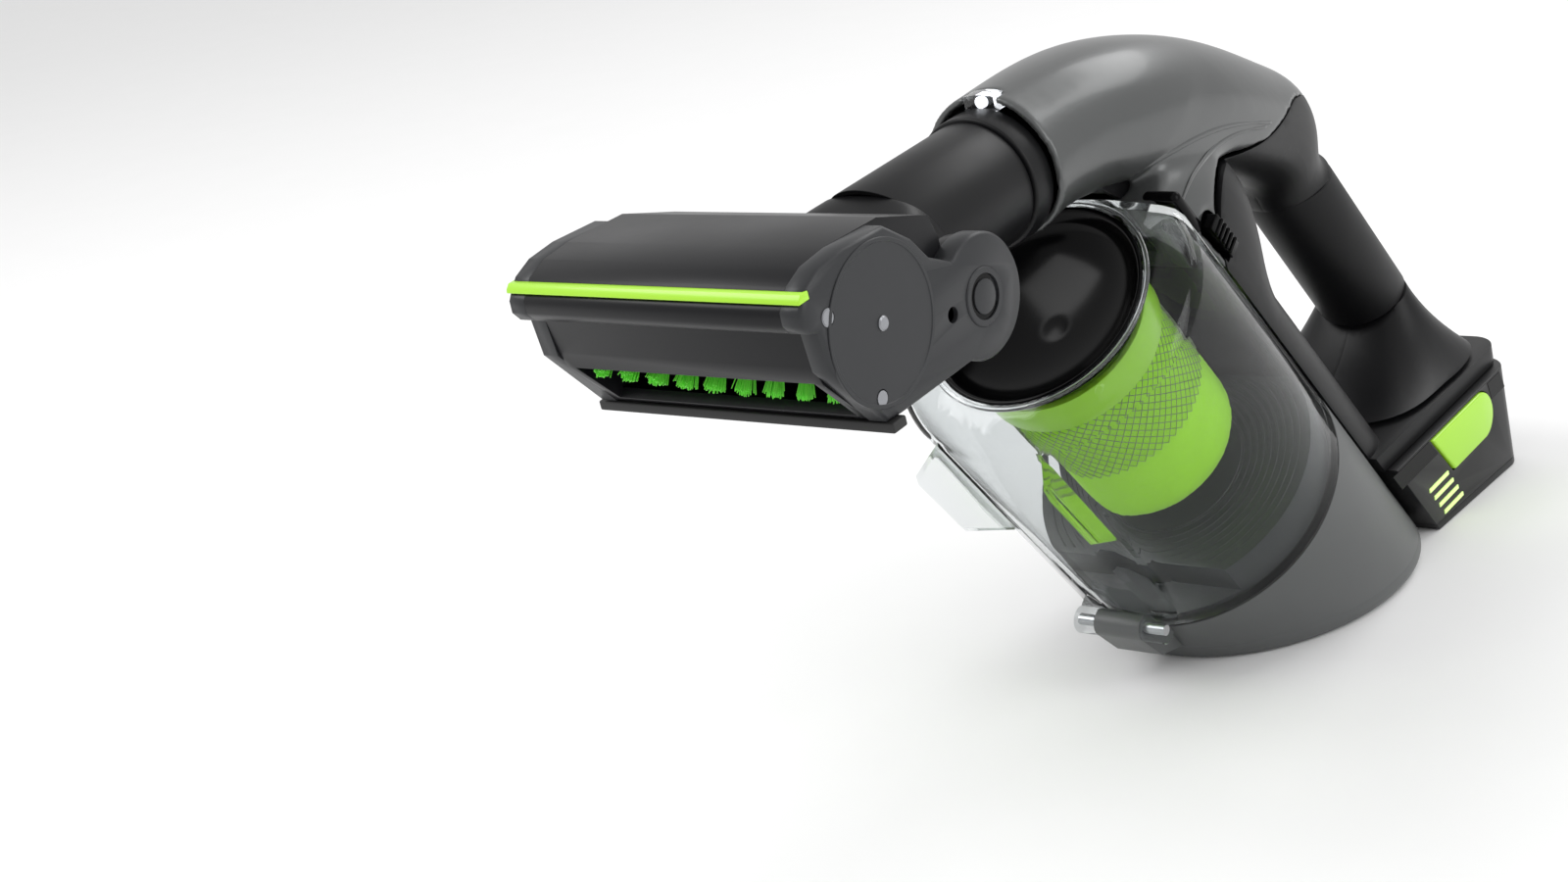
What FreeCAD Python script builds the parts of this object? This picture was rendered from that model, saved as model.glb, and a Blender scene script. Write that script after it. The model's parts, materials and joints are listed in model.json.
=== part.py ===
import FreeCAD, Part
import math
import os

from FreeCAD import Vector

# Cordless handheld vacuum with a cyclone bin, a slide-on battery and a powered brush head.
# Millimetres. +Z is up and the nozzle points along -Y. +X is the machine's left side.
# It stands on the flat base of its motor housing and on its battery.
#
# Everything is drawn with the nozzle level and the floor sloping under it. At the end the drawing
# is stood on that floor, so the nozzle of the finished machine points a little down.
# The bin, motor and handle are drawn in the bin's own frame and then leaned over: there x runs
# across the machine, t runs from the bin's axis towards the handle, and b runs along the bin's
# axis towards its front disc, where b is 0.

# ---- stance ----
TILT = 34.0             # degrees between the bin's axis and upright, with the nozzle level
DISC_HEIGHT = 166.0     # middle of the front disc above the drawing's own zero
FLOOR_SLOPE = 4.0       # degrees that the floor falls towards the battery
FLOOR_AHEAD = 11.0      # height of the floor under the front disc

# ---- bin ----
BIN_R = 57.5
BIN_WALL = 2.0
BIN_LENGTH = 125.5
BIN_TOP = 42.4          # flat upper side of the bin, as a distance from its axis
BIN_SHOULDER = 9.0      # length of the sloping ring round the front disc
DISC_R = 40.0
DISC_DEPTH = 15.0
SHROUD_R = 33.2
SHROUD_WALL = 0.8
BAND_END = 27.0         # the shroud's band ends this far behind the disc, where the mesh starts
MESH_END = 60.0
FOAM_R = 32.0
FOAM_END = 97.0
CAGE_R = 20.0
FIN_REACH = 14.0
FIN_LENGTH = 59.0
FIN_THICK = 2.6
FIN_ANGLE = 22.0        # degrees from straight under the bin to each finger fin
INLET_FRONT = -8.0
INLET_BACK = -27.0

# ---- bin hinge and catch ----
HINGE_T = -63.0
HINGE_BACK = 10.5       # the hinge axis is this far in front of the bin's back edge
HINGE_R = 5.0
HINGE_PIN_R = 2.0
HINGE_HALF = 18.0
HINGE_MIDDLE = 9.5      # half the length of the housing's own knuckle
PIN_FIT = 0.05
CATCH_B = -33.0
CATCH_LENGTH = 18.0
CATCH_OUT = 40.4        # the catch's finger face, from the middle of the machine
CATCH_DEEP = 8.8
LUG_X = 27.0
LUG_THICK = 3.6

# ---- motor housing ----
SEAM = 1.2              # seal thickness between bin and housing
HOUSING_WALL = 2.4
BASE_HEIGHT = 7.0
BASE_ROUND = 4.0
VENT_PITCH = 9.0
VENT_HALF = 32.0
SPIGOT_R = 53.4
SPIGOT_LENGTH = 16.5
SPIGOT_FLAT = 39.5      # the spigot is cut flat beside the hinge so that the bin swings past it
SPIGOT_FOOT = 1.5
GRILLE_RINGS = ((6, 8.0), (12, 16.0), (18, 24.0))   # holes in each ring, and the ring's radius
FAN_R = 36.0
FAN_THICK = 10.0
MOTOR_R = 24.0
MOTOR_LENGTH = 22.0
SHAFT_R = 2.5
SHAFT_FIT = 0.06

# ---- spine, hood and handle ----
SADDLE_GAP = 1.0        # between the bin's flat side and the saddle over it
SADDLE_HALF = 39.0
SADDLE_RISE = 24.6
SADDLE_LENGTH = 118.0
SHELL_WALL = 2.5
GRIP_R = 17.7
GRIP_T = 129.5
GRIP_TOP = 118.0
GRIP_BOTTOM = 194.0
GRIP_SKIN = 2.3
RIM_HEIGHT = 38.5
RIM_THICK = 7.5
RIM_HALF = 42.0
RIM_BACK = 248.0
RIM_ROUND = 12.0
SCREW_SINK = 6.0
BUTTON_SPOT = -GRIP_TOP + 13.0

# ---- nozzle ----
NOZZLE_HEIGHT = 215.0
NOZZLE_R = 22.0
SPOUT_R = 18.0
SPOUT_WALL = 2.0
SPOUT_FIT = 0.08
COLLAR_R = 23.2
COLLAR_LENGTH = 10.0
SPINE_FRONT = -7.0
LENS_HALF = 6.0
SPOUT_FRONT = -48.0

# ---- brush head ----
HEAD_WIDTH = 112.0
COVER_THICK = 7.0
ROLLER_Y = -144.0
ROLLER_Z = 224.0
PIVOT_Y = -97.0
PIVOT_Z = 212.0
CHAMBER_R = 23.5
CORE_R = 12.0
BRISTLE_R = 22.3
TUFT_ROWS = 2
TUFTS_IN_ROW = 9
TUFT_START = 221.0      # degrees round the axle of the middle tuft, from straight back
TUFT_TWIST = 35.0       # degrees that a row turns from one end of the roller to the other
AXLE_R = 2.5
BARREL_R = 16.0
EAR_R = 18.0
EAR_THICK = 4.5
JOURNAL_R = 9.0
ROLLER_PULLEY_R = 10.0
DRIVE_PULLEY_R = 5.0
BELT_THICK = 1.5
PULLEY_WIDTH = 3.4

# ---- battery ----
BATTERY_HALF = 46.0
BATTERY_FRONT = 44.8    # the battery's sloping front, as a distance from the bin's axis
BATTERY_BACK = 246.0
BATTERY_GAP = 0.6       # under the handle's rim
CASE_WALL = 2.2
CELL_R = 9.1
CELL_LENGTH = 65.0
CELL_PITCH = 18.6
BASE_PLATE = 3.0
BUTTON_LENGTH = 53.0
BUTTON_HEIGHT = 19.5
BUTTON_LOW = 17.0
BUTTON_FRONT = 170.0    # upper front corner of the release button
BUTTON_RAKE = 15.0      # the lower front corner is this far behind it
LIGHT_LENGTH = 17.0
LIGHT_PITCH = 4.6
LIGHT_INSET = 9.0       # from the battery's sloping front to each light
CONTACT_BACK = 204.0
RAIL_WEB = 26.0         # from the middle to the inner side of each dock rail
RAIL_BACK = 228.0
RAIL_DEPTH = 3.6
LIP_THICK = 1.4

CLEAR = 0.4
BOARD_THICK = 1.6

# ---- sizes that follow from those above ----
SIN_TILT = math.sin(math.radians(TILT))
COS_TILT = math.cos(math.radians(TILT))
SADDLE_T = BIN_TOP + SADDLE_GAP
HOUSING_B = -BIN_LENGTH - SEAM
HINGE_B = -BIN_LENGTH + HINGE_BACK
HEAD_HALF = HEAD_WIDTH / 2.0
HOUSING_HALF = HEAD_HALF - COVER_THICK
BATTERY_TOP = RIM_HEIGHT - BATTERY_GAP
LEAN = TILT + FLOOR_SLOPE
SLOPE = math.tan(math.radians(FLOOR_SLOPE))
ALONG_X = Vector(1, 0, 0)
ALONG_Y = Vector(0, 1, 0)
ALONG_Z = Vector(0, 0, 1)
FAR = 600.0

parts = {}


# ---- helpers ----
def lean(shape):
    """Takes a shape from the bin's frame (x, t, b) to the drawing."""
    leaned = shape.copy()
    leaned.rotate(Vector(0, 0, 0), ALONG_X, TILT)
    leaned.translate(Vector(0, 0, DISC_HEIGHT))
    return leaned


def stand(shape):
    """Takes a shape from the drawing to the floor, which is then level at height 0."""
    stood = shape.copy()
    stood.translate(Vector(0, 0, -FLOOR_AHEAD))
    stood.rotate(Vector(0, 0, 0), ALONG_X, FLOOR_SLOPE)
    return stood


def tip(shape):
    """Takes a shape that stands on the level floor back into the drawing."""
    tipped = shape.copy()
    tipped.rotate(Vector(0, 0, 0), ALONG_X, -FLOOR_SLOPE)
    tipped.translate(Vector(0, 0, FLOOR_AHEAD))
    return tipped


def floor_z(y):
    """The floor's height in the drawing."""
    return FLOOR_AHEAD - SLOPE * y


def floor_y(t, rise=0.0):
    """Where the plane at distance t from the bin's axis meets the line at a height over the floor."""
    return (t + (DISC_HEIGHT - FLOOR_AHEAD - rise) * SIN_TILT) / (COS_TILT - SLOPE * SIN_TILT)


def axis_y(height):
    """Where the bin's axis is on the stood machine, at a height over the floor."""
    drop = DISC_HEIGHT - FLOOR_AHEAD
    ahead = -drop * math.sin(math.radians(FLOOR_SLOPE))
    above = drop * math.cos(math.radians(FLOOR_SLOPE)) - height
    return ahead + above * math.tan(math.radians(LEAN))


def place(t, b):
    """The drawing's (y, z) of a point of the bin's frame."""
    return (t * COS_TILT - b * SIN_TILT, DISC_HEIGHT + t * SIN_TILT + b * COS_TILT)


def slope_y(t, z):
    """Where the plane at distance t from the bin's axis meets height z."""
    return (t - (z - DISC_HEIGHT) * SIN_TILT) / COS_TILT


def box(x0, x1, y0, y1, z0, z1):
    return Part.makeBox(x1 - x0, y1 - y0, z1 - z0, Vector(x0, y0, z0))


def rod(radius, x0, x1, y, z):
    """A cylinder along X."""
    return Part.makeCylinder(radius, x1 - x0, Vector(x0, y, z), ALONG_X)


def disc(radius, b0, b1, x=0.0, t=0.0):
    """A cylinder along the third axis."""
    return Part.makeCylinder(radius, b1 - b0, Vector(x, t, b0), ALONG_Z)


def barrel(radius, y0, y1, z, x=0.0):
    """A cylinder along Y."""
    return Part.makeCylinder(radius, y1 - y0, Vector(x, y0, z), ALONG_Y)


def prism(points, x0, x1):
    """A polygon of the side view, carried across from x0 to x1."""
    corners = [Vector(x0, y, z) for y, z in points]
    outline = Part.makePolygon(corners + [corners[0]])
    return Part.Face(outline).extrude(Vector(x1 - x0, 0, 0))


def turned(points):
    """A profile of (radius, b) points, turned round the bin's axis."""
    corners = [Vector(radius, 0, b) for radius, b in points]
    outline = Part.makePolygon(corners + [corners[0]])
    return Part.Face(outline).revolve(Vector(0, 0, 0), ALONG_Z, 360)


def smooth_ring(points):
    """A closed smooth wire through points."""
    curve = Part.BSplineCurve()
    curve.interpolate(Points=points, PeriodicFlag=True)
    return Part.Wire([curve.toShape()])


def loft(wires):
    return Part.makeLoft(wires, True, False, False, 3)


def rounded_box(x_half, y0, y1, z0, z1, radius):
    """A box with rounded upright corners."""
    block = box(-x_half, x_half, y0, y1, z0, z1)
    upright = [edge for edge in block.Edges if abs(edge.tangentAt(edge.FirstParameter).z) > 0.99]
    return block.makeFillet(radius, upright)


def two_circles(y0, z0, r0, y1, z1, r1, x0, x1):
    """The solid hull of two circles of the side view, like a belt with its inside filled."""
    distance = math.hypot(y1 - y0, z1 - z0)
    heading = math.atan2(z1 - z0, y1 - y0)
    open_angle = math.acos((r0 - r1) / distance)
    corners = []
    for y, z, radius, side in ((y0, z0, r0, 1), (y1, z1, r1, 1), (y1, z1, r1, -1), (y0, z0, r0, -1)):
        angle = heading + side * open_angle
        corners.append((y + radius * math.cos(angle), z + radius * math.sin(angle)))
    body = prism(corners, x0, x1)
    return body.fuse([rod(r0, x0, x1, y0, z0), rod(r1, x0, x1, y1, z1)]).removeSplitter()


def mirrored(shape):
    return shape.mirror(Vector(0, 0, 0), ALONG_X)


def add(node, shape):
    parts[node] = shape


# ---- outer form of the spine, hood and handle ----
# Each station of the arch: middle (y, z), slope of its path in degrees, then how far the section
# reaches outwards, inwards and to each side, and how square it is (2 is an ellipse).
ARCH = [
    (SPINE_FRONT, 214.5, 0.0, 28.0, 22.6, 26.5, 2.0),
    (32.0, 215.5, -2.0, 26.5, 23.0, 29.0, 2.1),
    (66.0, 209.0, -12.0, 27.5, 24.0, 31.5, 2.2),
    (100.0, 198.0, -22.0, 26.0, 24.0, 30.5, 2.2),
    (132.0, 182.5, -32.0, 24.5, 22.5, 27.0, 2.1),
    (157.5, 166.0, -45.0, 23.5, 20.0, 22.5, 2.1),
]
FLARE = [
    (213.0, 66.0, -70.0, 22.0, 28.0, 25.0, 2.1),
    (203.0, 48.0, -90.0, 43.5, 48.0, 40.5, 3.2),
]
# The hood over the bin: b, height of the section over the saddle's underside, half its width.
HOOD = [
    (-3.0, 24.0, 30.0),
    (-18.0, 41.0, 36.0),
    (-38.0, 51.0, SADDLE_HALF - 0.4),
    (-58.0, 46.0, SADDLE_HALF),
    (-72.0, 32.0, SADDLE_HALF),
    (-84.0, SADDLE_RISE, SADDLE_HALF),
]
HOOD_SPLIT = 50.0       # the spine shell's edge crosses the saddle's underside this far behind the disc


def station(y, z, slope, outwards, inwards, half, square, shrink=0.0):
    """One closed section of the arch or the flare."""
    up_y = -math.sin(math.radians(slope))
    up_z = math.cos(math.radians(slope))
    points = []
    for step in range(16):
        angle = math.radians(22.5 * step)
        across = math.copysign(abs(math.cos(angle)) ** (2.0 / square), math.cos(angle))
        rise = math.copysign(abs(math.sin(angle)) ** (2.0 / square), math.sin(angle))
        reach = (outwards if rise > 0 else inwards) - shrink
        points.append(Vector(across * (half - shrink), y + up_y * rise * reach, z + up_z * rise * reach))
    return smooth_ring(points)


def grip_station(b, shrink=0.0):
    y, z = place(GRIP_T, b)
    return station(y, z, TILT - 90.0, GRIP_R, GRIP_R, GRIP_R, 2.0, shrink)


def arch(shrink=0.0):
    rings = [station(*row, shrink) for row in ARCH]
    rings.append(grip_station(-GRIP_TOP + 12.0, shrink))
    rings.append(grip_station(-GRIP_TOP, shrink))
    return loft(rings)


def flare(shrink=0.0):
    rings = [grip_station(-GRIP_BOTTOM, shrink)]
    rings += [station(*row, shrink) for row in FLARE]
    return loft(rings)


def saddle_ring(b, rise, half_width, shrink=0.0):
    """One section across the hood or the saddle: flat below and domed above."""
    half = half_width - shrink
    low = SADDLE_T + shrink
    tall = rise - 2.0 * shrink
    side = [(1.0, 0.0), (0.99, 0.25), (0.90, 0.55), (0.64, 0.84)]
    corners = [Vector(half * w, low + tall * h, b) for w, h in side]
    corners.append(Vector(0, low + tall, b))
    corners += [Vector(-half * w, low + tall * h, b) for w, h in reversed(side)]
    curve = Part.BSplineCurve()
    curve.interpolate(Points=corners)
    foot = Part.LineSegment(corners[-1], corners[0]).toShape()
    return Part.Wire([curve.toShape(), foot])


def hood(shrink=0.0):
    """The skirt over the bin's front end, closed in front."""
    rings = [saddle_ring(b, rise, half, shrink) for b, rise, half in HOOD[1:]]
    b, rise, half = HOOD[0]
    return lean(loft([saddle_ring(b - shrink, rise + shrink, half, shrink)] + rings))


def saddle(shrink=0.0):
    """The bar along the bin and the motor housing, under the fingers."""
    section = Part.Face(saddle_ring(HOOD[-1][0], SADDLE_RISE, SADDLE_HALF, shrink))
    return lean(section.extrude(Vector(0, 0, -SADDLE_LENGTH)))


def rim(shrink=0.0):
    """The thick edge of the flare, over the battery."""
    front = slope_y(SADDLE_T, RIM_HEIGHT)
    block = rounded_box(RIM_HALF - shrink, front - 30.0, RIM_BACK - shrink, RIM_HEIGHT - shrink,
                        RIM_HEIGHT + RIM_THICK - shrink, RIM_ROUND - shrink)
    ahead = lean(box(-FAR, FAR, -FAR, SADDLE_T + shrink, -FAR, FAR))
    return block.cut(ahead)


def grip_rod(radius, above=14.0, below=10.0):
    """A cylinder on the grip's axis, longer than the bare grip at both ends."""
    y, z = place(GRIP_T, -GRIP_TOP + above)
    length = GRIP_BOTTOM - GRIP_TOP + above + below
    return Part.makeCylinder(radius, length, Vector(0, y, z), Vector(0, SIN_TILT, -COS_TILT))


def sleeve_span():
    """The stretch of the grip that the rubber sleeve covers, between its two slanted seams."""
    high = GRIP_T + GRIP_R + 10.0
    low = GRIP_T - GRIP_R - 10.0
    corners = [(low, -GRIP_TOP + 13.0), (high, -GRIP_TOP - 9.0), (high, -GRIP_BOTTOM - 8.0),
               (low, -GRIP_BOTTOM + 6.0)]
    return lean(prism(corners, -40.0, 40.0))


# The line where the grey spine shell meets the black handle, seen from the side.
SEAM_LINE = [(196.0, 190.0), (178.0, 178.0), (150.0, 184.0), (124.0, 180.0), (98.0, 181.0),
             (78.0, 182.0), (67.0, 176.0), (61.0, 165.0), (61.5, 150.0)]


def behind_seam():
    """Everything behind and below the joint line of the spine shell."""
    curve = Part.BSplineCurve()
    curve.interpolate(Points=[Vector(-FAR, y, z) for y, z in SEAM_LINE])
    end = place(SADDLE_T - 40.0, -HOOD_SPLIT)
    first = Vector(-FAR, *SEAM_LINE[0])
    last = Vector(-FAR, *SEAM_LINE[-1])
    corners = [last, Vector(-FAR, end[0], end[1]), Vector(-FAR, 60.0, -200.0), Vector(-FAR, 400.0, -200.0),
               Vector(-FAR, 400.0, 210.0), first]
    edges = [curve.toShape()]
    edges += [Part.LineSegment(one, two).toShape() for one, two in zip(corners, corners[1:])]
    return Part.Face(Part.Wire(edges)).extrude(Vector(2 * FAR, 0, 0))


def inlet_window():
    """The air's way from the duct into the bin, through hood, seal and bin wall."""
    return lean(box(-13.0, 13.0, SADDLE_T - 6.0, SADDLE_T + 4.0, INLET_BACK, INLET_FRONT))


def catch_window(grow=0.0):
    """The opening in the hood's left side that holds the bin catch."""
    half = CATCH_LENGTH / 2.0 + grow
    return lean(box(30.0, 60.0, SADDLE_T + 2.6 - grow, SADDLE_T + 10.6 + grow, CATCH_B - half,
                    CATCH_B + half))


# ---- spine and handle pieces ----
def spine_and_handle():
    """The hollow body before it is parted into the spine shell and the handle halves."""
    outside = arch().fuse([hood(), saddle()])
    outside = outside.fuse(flare())
    outside = outside.fuse(rim())
    outside = outside.cut(box(-FAR, FAR, -FAR, FAR, -FAR, RIM_HEIGHT))
    shell = outside
    for hollow in (arch(SHELL_WALL), hood(SHELL_WALL), saddle(SHELL_WALL), flare(SHELL_WALL)):
        shell = shell.cut(hollow)
    core_r = GRIP_R - GRIP_SKIN
    core = grip_rod(core_r).cut(grip_rod(core_r - SHELL_WALL, 20.0, 20.0))
    for y, z, reach in HANDLE_SCREWS:
        shell = shell.fuse(rod(4.5, -reach, reach, y, z).common(outside))
    shell = shell.fuse(core)
    sleeve_room = sleeve_span().common(grip_rod(GRIP_R + 3.0, 40.0, 40.0))
    shell = shell.cut(sleeve_room.cut(grip_rod(core_r, 60.0, 60.0)))
    shell = shell.cut(duct_outside())
    shell = shell.cut(inlet_window())
    shell = shell.cut(catch_window(CLEAR))
    shell = shell.cut(lug_slot())
    return shell


def lug_slot():
    """Room in the hood's floor for the bin's catch lug to swing out."""
    return lean(box(LUG_X - 0.8, LUG_X + LUG_THICK + 0.8, SADDLE_T - 1.0, SADDLE_T + 4.0,
                    CATCH_B - 9.0, CATCH_B + 17.0))


def lens_block():
    return box(-LENS_HALF, LENS_HALF, SPINE_FRONT - 1.0, SPINE_FRONT + 6.0, NOZZLE_HEIGHT + 21.6,
               NOZZLE_HEIGHT + 40.0)


def handle_screw(y, z, reach):
    """A screw from the right half into the left, with its head sunk in the right half."""
    shank = rod(1.5, -reach + SCREW_SINK, 9.0, y, z)
    head = rod(3.0, -reach + SCREW_SINK - 2.4, -reach + SCREW_SINK, y, z)
    return shank.fuse(head)


# Handle screws: place in the side view, and half the width of the handle there.
HANDLE_SCREWS = [(*place(SADDLE_T + 12.0, -100.0), 35.0), (*place(SADDLE_T + 12.0, -152.0), 35.0),
                 (124.0, 172.0, 27.0)]
SWITCH_T = GRIP_T + GRIP_R - 14.0


SPOUT_END = 58.0
DUCT_HALF = 15.5
DUCT_WALL = 2.5


def duct_outside():
    """The outer form of the inlet duct: the round spout and the bend down to the bin's inlet."""
    bend = [(24.0, NOZZLE_HEIGHT), (24.0, NOZZLE_HEIGHT - 15.0), place(SADDLE_T + SHELL_WALL, -5.5),
            place(SADDLE_T + SHELL_WALL, -29.5), place(SADDLE_T + 14.0, -33.0), (SPOUT_END, NOZZLE_HEIGHT)]
    spout = barrel(SPOUT_R, SPOUT_FRONT, SPOUT_END, NOZZLE_HEIGHT)
    return spout.fuse(prism(bend, -DUCT_HALF, DUCT_HALF))


def power_button_rod(radius, low, high):
    return lean(Part.makeCylinder(radius, high - low, Vector(0, low, BUTTON_SPOT), ALONG_Y))


whole = spine_and_handle()
whole = whole.cut(power_button_rod(7.4, GRIP_T + 6.0, GRIP_T + 40.0))
lens = arch().common(lens_block())
whole = whole.cut(lens_block())
behind = behind_seam()
handle = whole.common(behind)
for row in HANDLE_SCREWS:
    handle = handle.cut(handle_screw(*row))
    handle = handle.cut(rod(3.3, -FAR, -row[2] + SCREW_SINK - 2.4, row[0], row[1]))

def rail(grow=0.0):
    """One rail of the dock under the rim, which a groove of the battery runs on."""
    front = slope_y(BATTERY_FRONT, RIM_HEIGHT - RAIL_DEPTH) + 6.0
    start = front if grow == 0.0 else front - 60.0
    low = RIM_HEIGHT - RAIL_DEPTH
    web = box(RAIL_WEB - grow, RAIL_WEB + 3.0 + grow, start, RAIL_BACK + grow, low - grow,
              RIM_HEIGHT + 0.5)
    lip = box(RAIL_WEB - grow, RAIL_WEB + 6.0 + grow, start, RAIL_BACK + grow, low - grow,
              low + LIP_THICK + grow)
    return web.fuse(lip)


handle = handle.fuse([rail(), mirrored(rail())])
add("spine_shell", whole.cut(behind))
add("headlight_lens", lens)
add("handle_left", handle.common(box(0, FAR, -FAR, FAR, -FAR, FAR)))
add("handle_right", handle.common(box(-FAR, 0, -FAR, FAR, -FAR, FAR)))
sleeve = grip_rod(GRIP_R, 30.0, 30.0).cut(grip_rod(GRIP_R - GRIP_SKIN, 60.0, 60.0))
add("grip_sleeve", sleeve.common(sleeve_span()))
add("handle_screws", Part.Compound([handle_screw(*row) for row in HANDLE_SCREWS]))
add("power_button", power_button_rod(7.0, SWITCH_T + 7.0, GRIP_T + GRIP_R + 0.7))
add("power_switch", lean(box(-6.0, 6.0, SWITCH_T - 8.0, SWITCH_T + 4.0, BUTTON_SPOT - 6.0,
                             BUTTON_SPOT + 6.0)))
board_low = RIM_HEIGHT + RIM_THICK + 2.0
add("control_board", box(-24.0, 24.0, 176.0, 228.0, board_low, board_low + BOARD_THICK))

# ---- nozzle side of the machine ----
duct_in = [(26.5, NOZZLE_HEIGHT), (26.5, NOZZLE_HEIGHT - 14.0), place(SADDLE_T + 1.0, INLET_FRONT),
           place(SADDLE_T + 1.0, INLET_BACK), place(SADDLE_T + 14.0, INLET_BACK - 3.0),
           (SPOUT_END - DUCT_WALL, NOZZLE_HEIGHT)]
duct = duct_outside()
duct = duct.cut(barrel(SPOUT_R - SPOUT_WALL, SPOUT_FRONT - 1.0, SPOUT_END - DUCT_WALL, NOZZLE_HEIGHT))
duct = duct.cut(prism(duct_in, -DUCT_HALF + DUCT_WALL, DUCT_HALF - DUCT_WALL))
add("inlet_duct", duct)
collar = barrel(COLLAR_R, SPINE_FRONT - COLLAR_LENGTH, SPINE_FRONT, NOZZLE_HEIGHT)
add("nozzle_collar", collar.cut(barrel(SPOUT_R, -FAR, FAR, NOZZLE_HEIGHT)))
SEAL_THICK = 0.8
seal = lean(box(-17.0, 17.0, SADDLE_T - SEAL_THICK, SADDLE_T, -31.0, -5.0))
add("inlet_seal", seal.cut(inlet_window()))

# ---- bin ----
bin_out = turned([(0, -BIN_LENGTH), (BIN_R, -BIN_LENGTH), (BIN_R, -BIN_SHOULDER), (BIN_R - 1.2, -5.0),
                  (BIN_R - 4.0, -3.0), (DISC_R + 4.0, 0), (0, 0)])
bin_out = bin_out.cut(box(-FAR, FAR, BIN_TOP, FAR, -FAR, FAR))
inner_r = BIN_R - BIN_WALL
bin_in = turned([(0, -BIN_LENGTH - 1.0), (inner_r, -BIN_LENGTH - 1.0), (inner_r, -BIN_SHOULDER - 0.8),
                 (inner_r - 1.4, -6.4), (inner_r - 3.4, -5.2), (DISC_R + 3.0, -2.2), (0, -2.2)])
bin_in = bin_in.cut(box(-FAR, FAR, BIN_TOP - BIN_WALL, FAR, -FAR, FAR))
shell = bin_out
fin_root = BIN_R - 1.0
fin_edge = BIN_R + FIN_REACH
fin = prism([(-fin_root, -7.0), (-fin_edge + 1.5, -9.0), (-fin_edge, -13.0), (-fin_edge, -FIN_LENGTH + 16.0),
             (-fin_root, -7.0 - FIN_LENGTH)], -FIN_THICK / 2, FIN_THICK / 2)
for side in (-1, 1):
    turned_fin = fin.copy()
    turned_fin.rotate(Vector(0, 0, 0), ALONG_Z, side * FIN_ANGLE)
    shell = shell.fuse(turned_fin)
knuckle_in = HINGE_MIDDLE + CLEAR
for side in (-1, 1):
    x0, x1 = sorted((side * knuckle_in, side * HINGE_HALF))
    web = box(x0, x1, HINGE_T, -BIN_R + 6.0, HINGE_B - 3.0, HINGE_B + 3.0)
    shell = shell.fuse([rod(HINGE_R, x0, x1, HINGE_T, HINGE_B), web])
shell = shell.cut(bin_in).cut(rod(HINGE_PIN_R + PIN_FIT, -FAR, FAR, HINGE_T, HINGE_B))
shell = shell.cut(disc(DISC_R, -10.0, 5.0))
lug = box(LUG_X, LUG_X + LUG_THICK, BIN_TOP - 0.5, SADDLE_T + 3.3, CATCH_B - 7.0, CATCH_B + 7.0)
shell = lean(shell.fuse(lug)).cut(inlet_window())
add("bin_shell", shell)
cup = turned([(DISC_R, 0), (DISC_R - 1.6, 0), (DISC_R - 3.0, -3.0), (DISC_R - 9.0, -9.5),
              (DISC_R - 20.0, -DISC_DEPTH + 1.2), (0, -DISC_DEPTH), (0, -DISC_DEPTH - 2.5),
              (DISC_R - 19.0, -DISC_DEPTH - 1.4), (DISC_R - 7.5, -11.6), (DISC_R - 1.0, -5.0),
              (DISC_R, -4.0)])
add("filter_cup", lean(cup))
band_front = -DISC_DEPTH + 1.5
add("shroud_band", lean(disc(SHROUD_R + 1.2, -BAND_END, band_front).cut(disc(FOAM_R + 0.2, -FAR, FAR))))
add("shroud_mesh", lean(disc(SHROUD_R, -MESH_END, -BAND_END).cut(disc(SHROUD_R - SHROUD_WALL, -FAR, FAR))))
foam = disc(FOAM_R, -FOAM_END, -DISC_DEPTH - 3.0)
foam = foam.makeFillet(12.0, [edge for edge in foam.Edges if edge.BoundBox.ZMax < -FOAM_END + 0.1])
cage_back = -FOAM_END + 13.0
add("filter_foam", lean(foam.cut(disc(CAGE_R, cage_back, 0))))
cage = disc(CAGE_R, cage_back, -DISC_DEPTH - 2.5).cut(disc(CAGE_R - 2.0, cage_back + 2.0, 0))
for step in range(4):
    window = box(-5.0, 5.0, -CAGE_R - 5.0, CAGE_R + 5.0, cage_back + 8.0, -DISC_DEPTH - 9.0)
    window.rotate(Vector(0, 0, 0), ALONG_Z, 45.0 * step)
    cage = cage.cut(window)
add("filter_cage", lean(cage))

# ---- bin catch ----
catch_half = CATCH_LENGTH / 2.0
add("bin_catch", lean(box(CATCH_OUT - CATCH_DEEP, CATCH_OUT, SADDLE_T + 3.8, SADDLE_T + 10.2,
                          CATCH_B - catch_half, CATCH_B + catch_half)))
add("catch_spring", lean(box(22.5, 23.1, SADDLE_T + 4.2, SADDLE_T + 9.8, CATCH_B - 8.0, CATCH_B + 8.0)))

# ---- hinge pin ----
add("hinge_pin", lean(rod(HINGE_PIN_R, -HINGE_HALF, HINGE_HALF, HINGE_T, HINGE_B)))

# ---- motor housing ----
deep = -300.0
column = disc(BIN_R, deep, HOUSING_B).cut(box(-FAR, FAR, SADDLE_T, FAR, -FAR, FAR))
hollow = disc(BIN_R - HOUSING_WALL, deep, 0).cut(box(-FAR, FAR, SADDLE_T - HOUSING_WALL, FAR, -FAR, FAR))
arm = prism([(HINGE_T - HINGE_R, HINGE_B), (-BIN_R - 0.7, HINGE_B), (-BIN_R - 0.7, HOUSING_B - 0.4),
             (-BIN_R + 1.7, HOUSING_B - 0.4), (-BIN_R + 1.7, HOUSING_B - 16.0),
             (HINGE_T - HINGE_R + 2.0, HOUSING_B - 4.0)], -HINGE_MIDDLE, HINGE_MIDDLE)
knuckle = rod(HINGE_R, -HINGE_MIDDLE, HINGE_MIDDLE, HINGE_T, HINGE_B)
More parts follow.
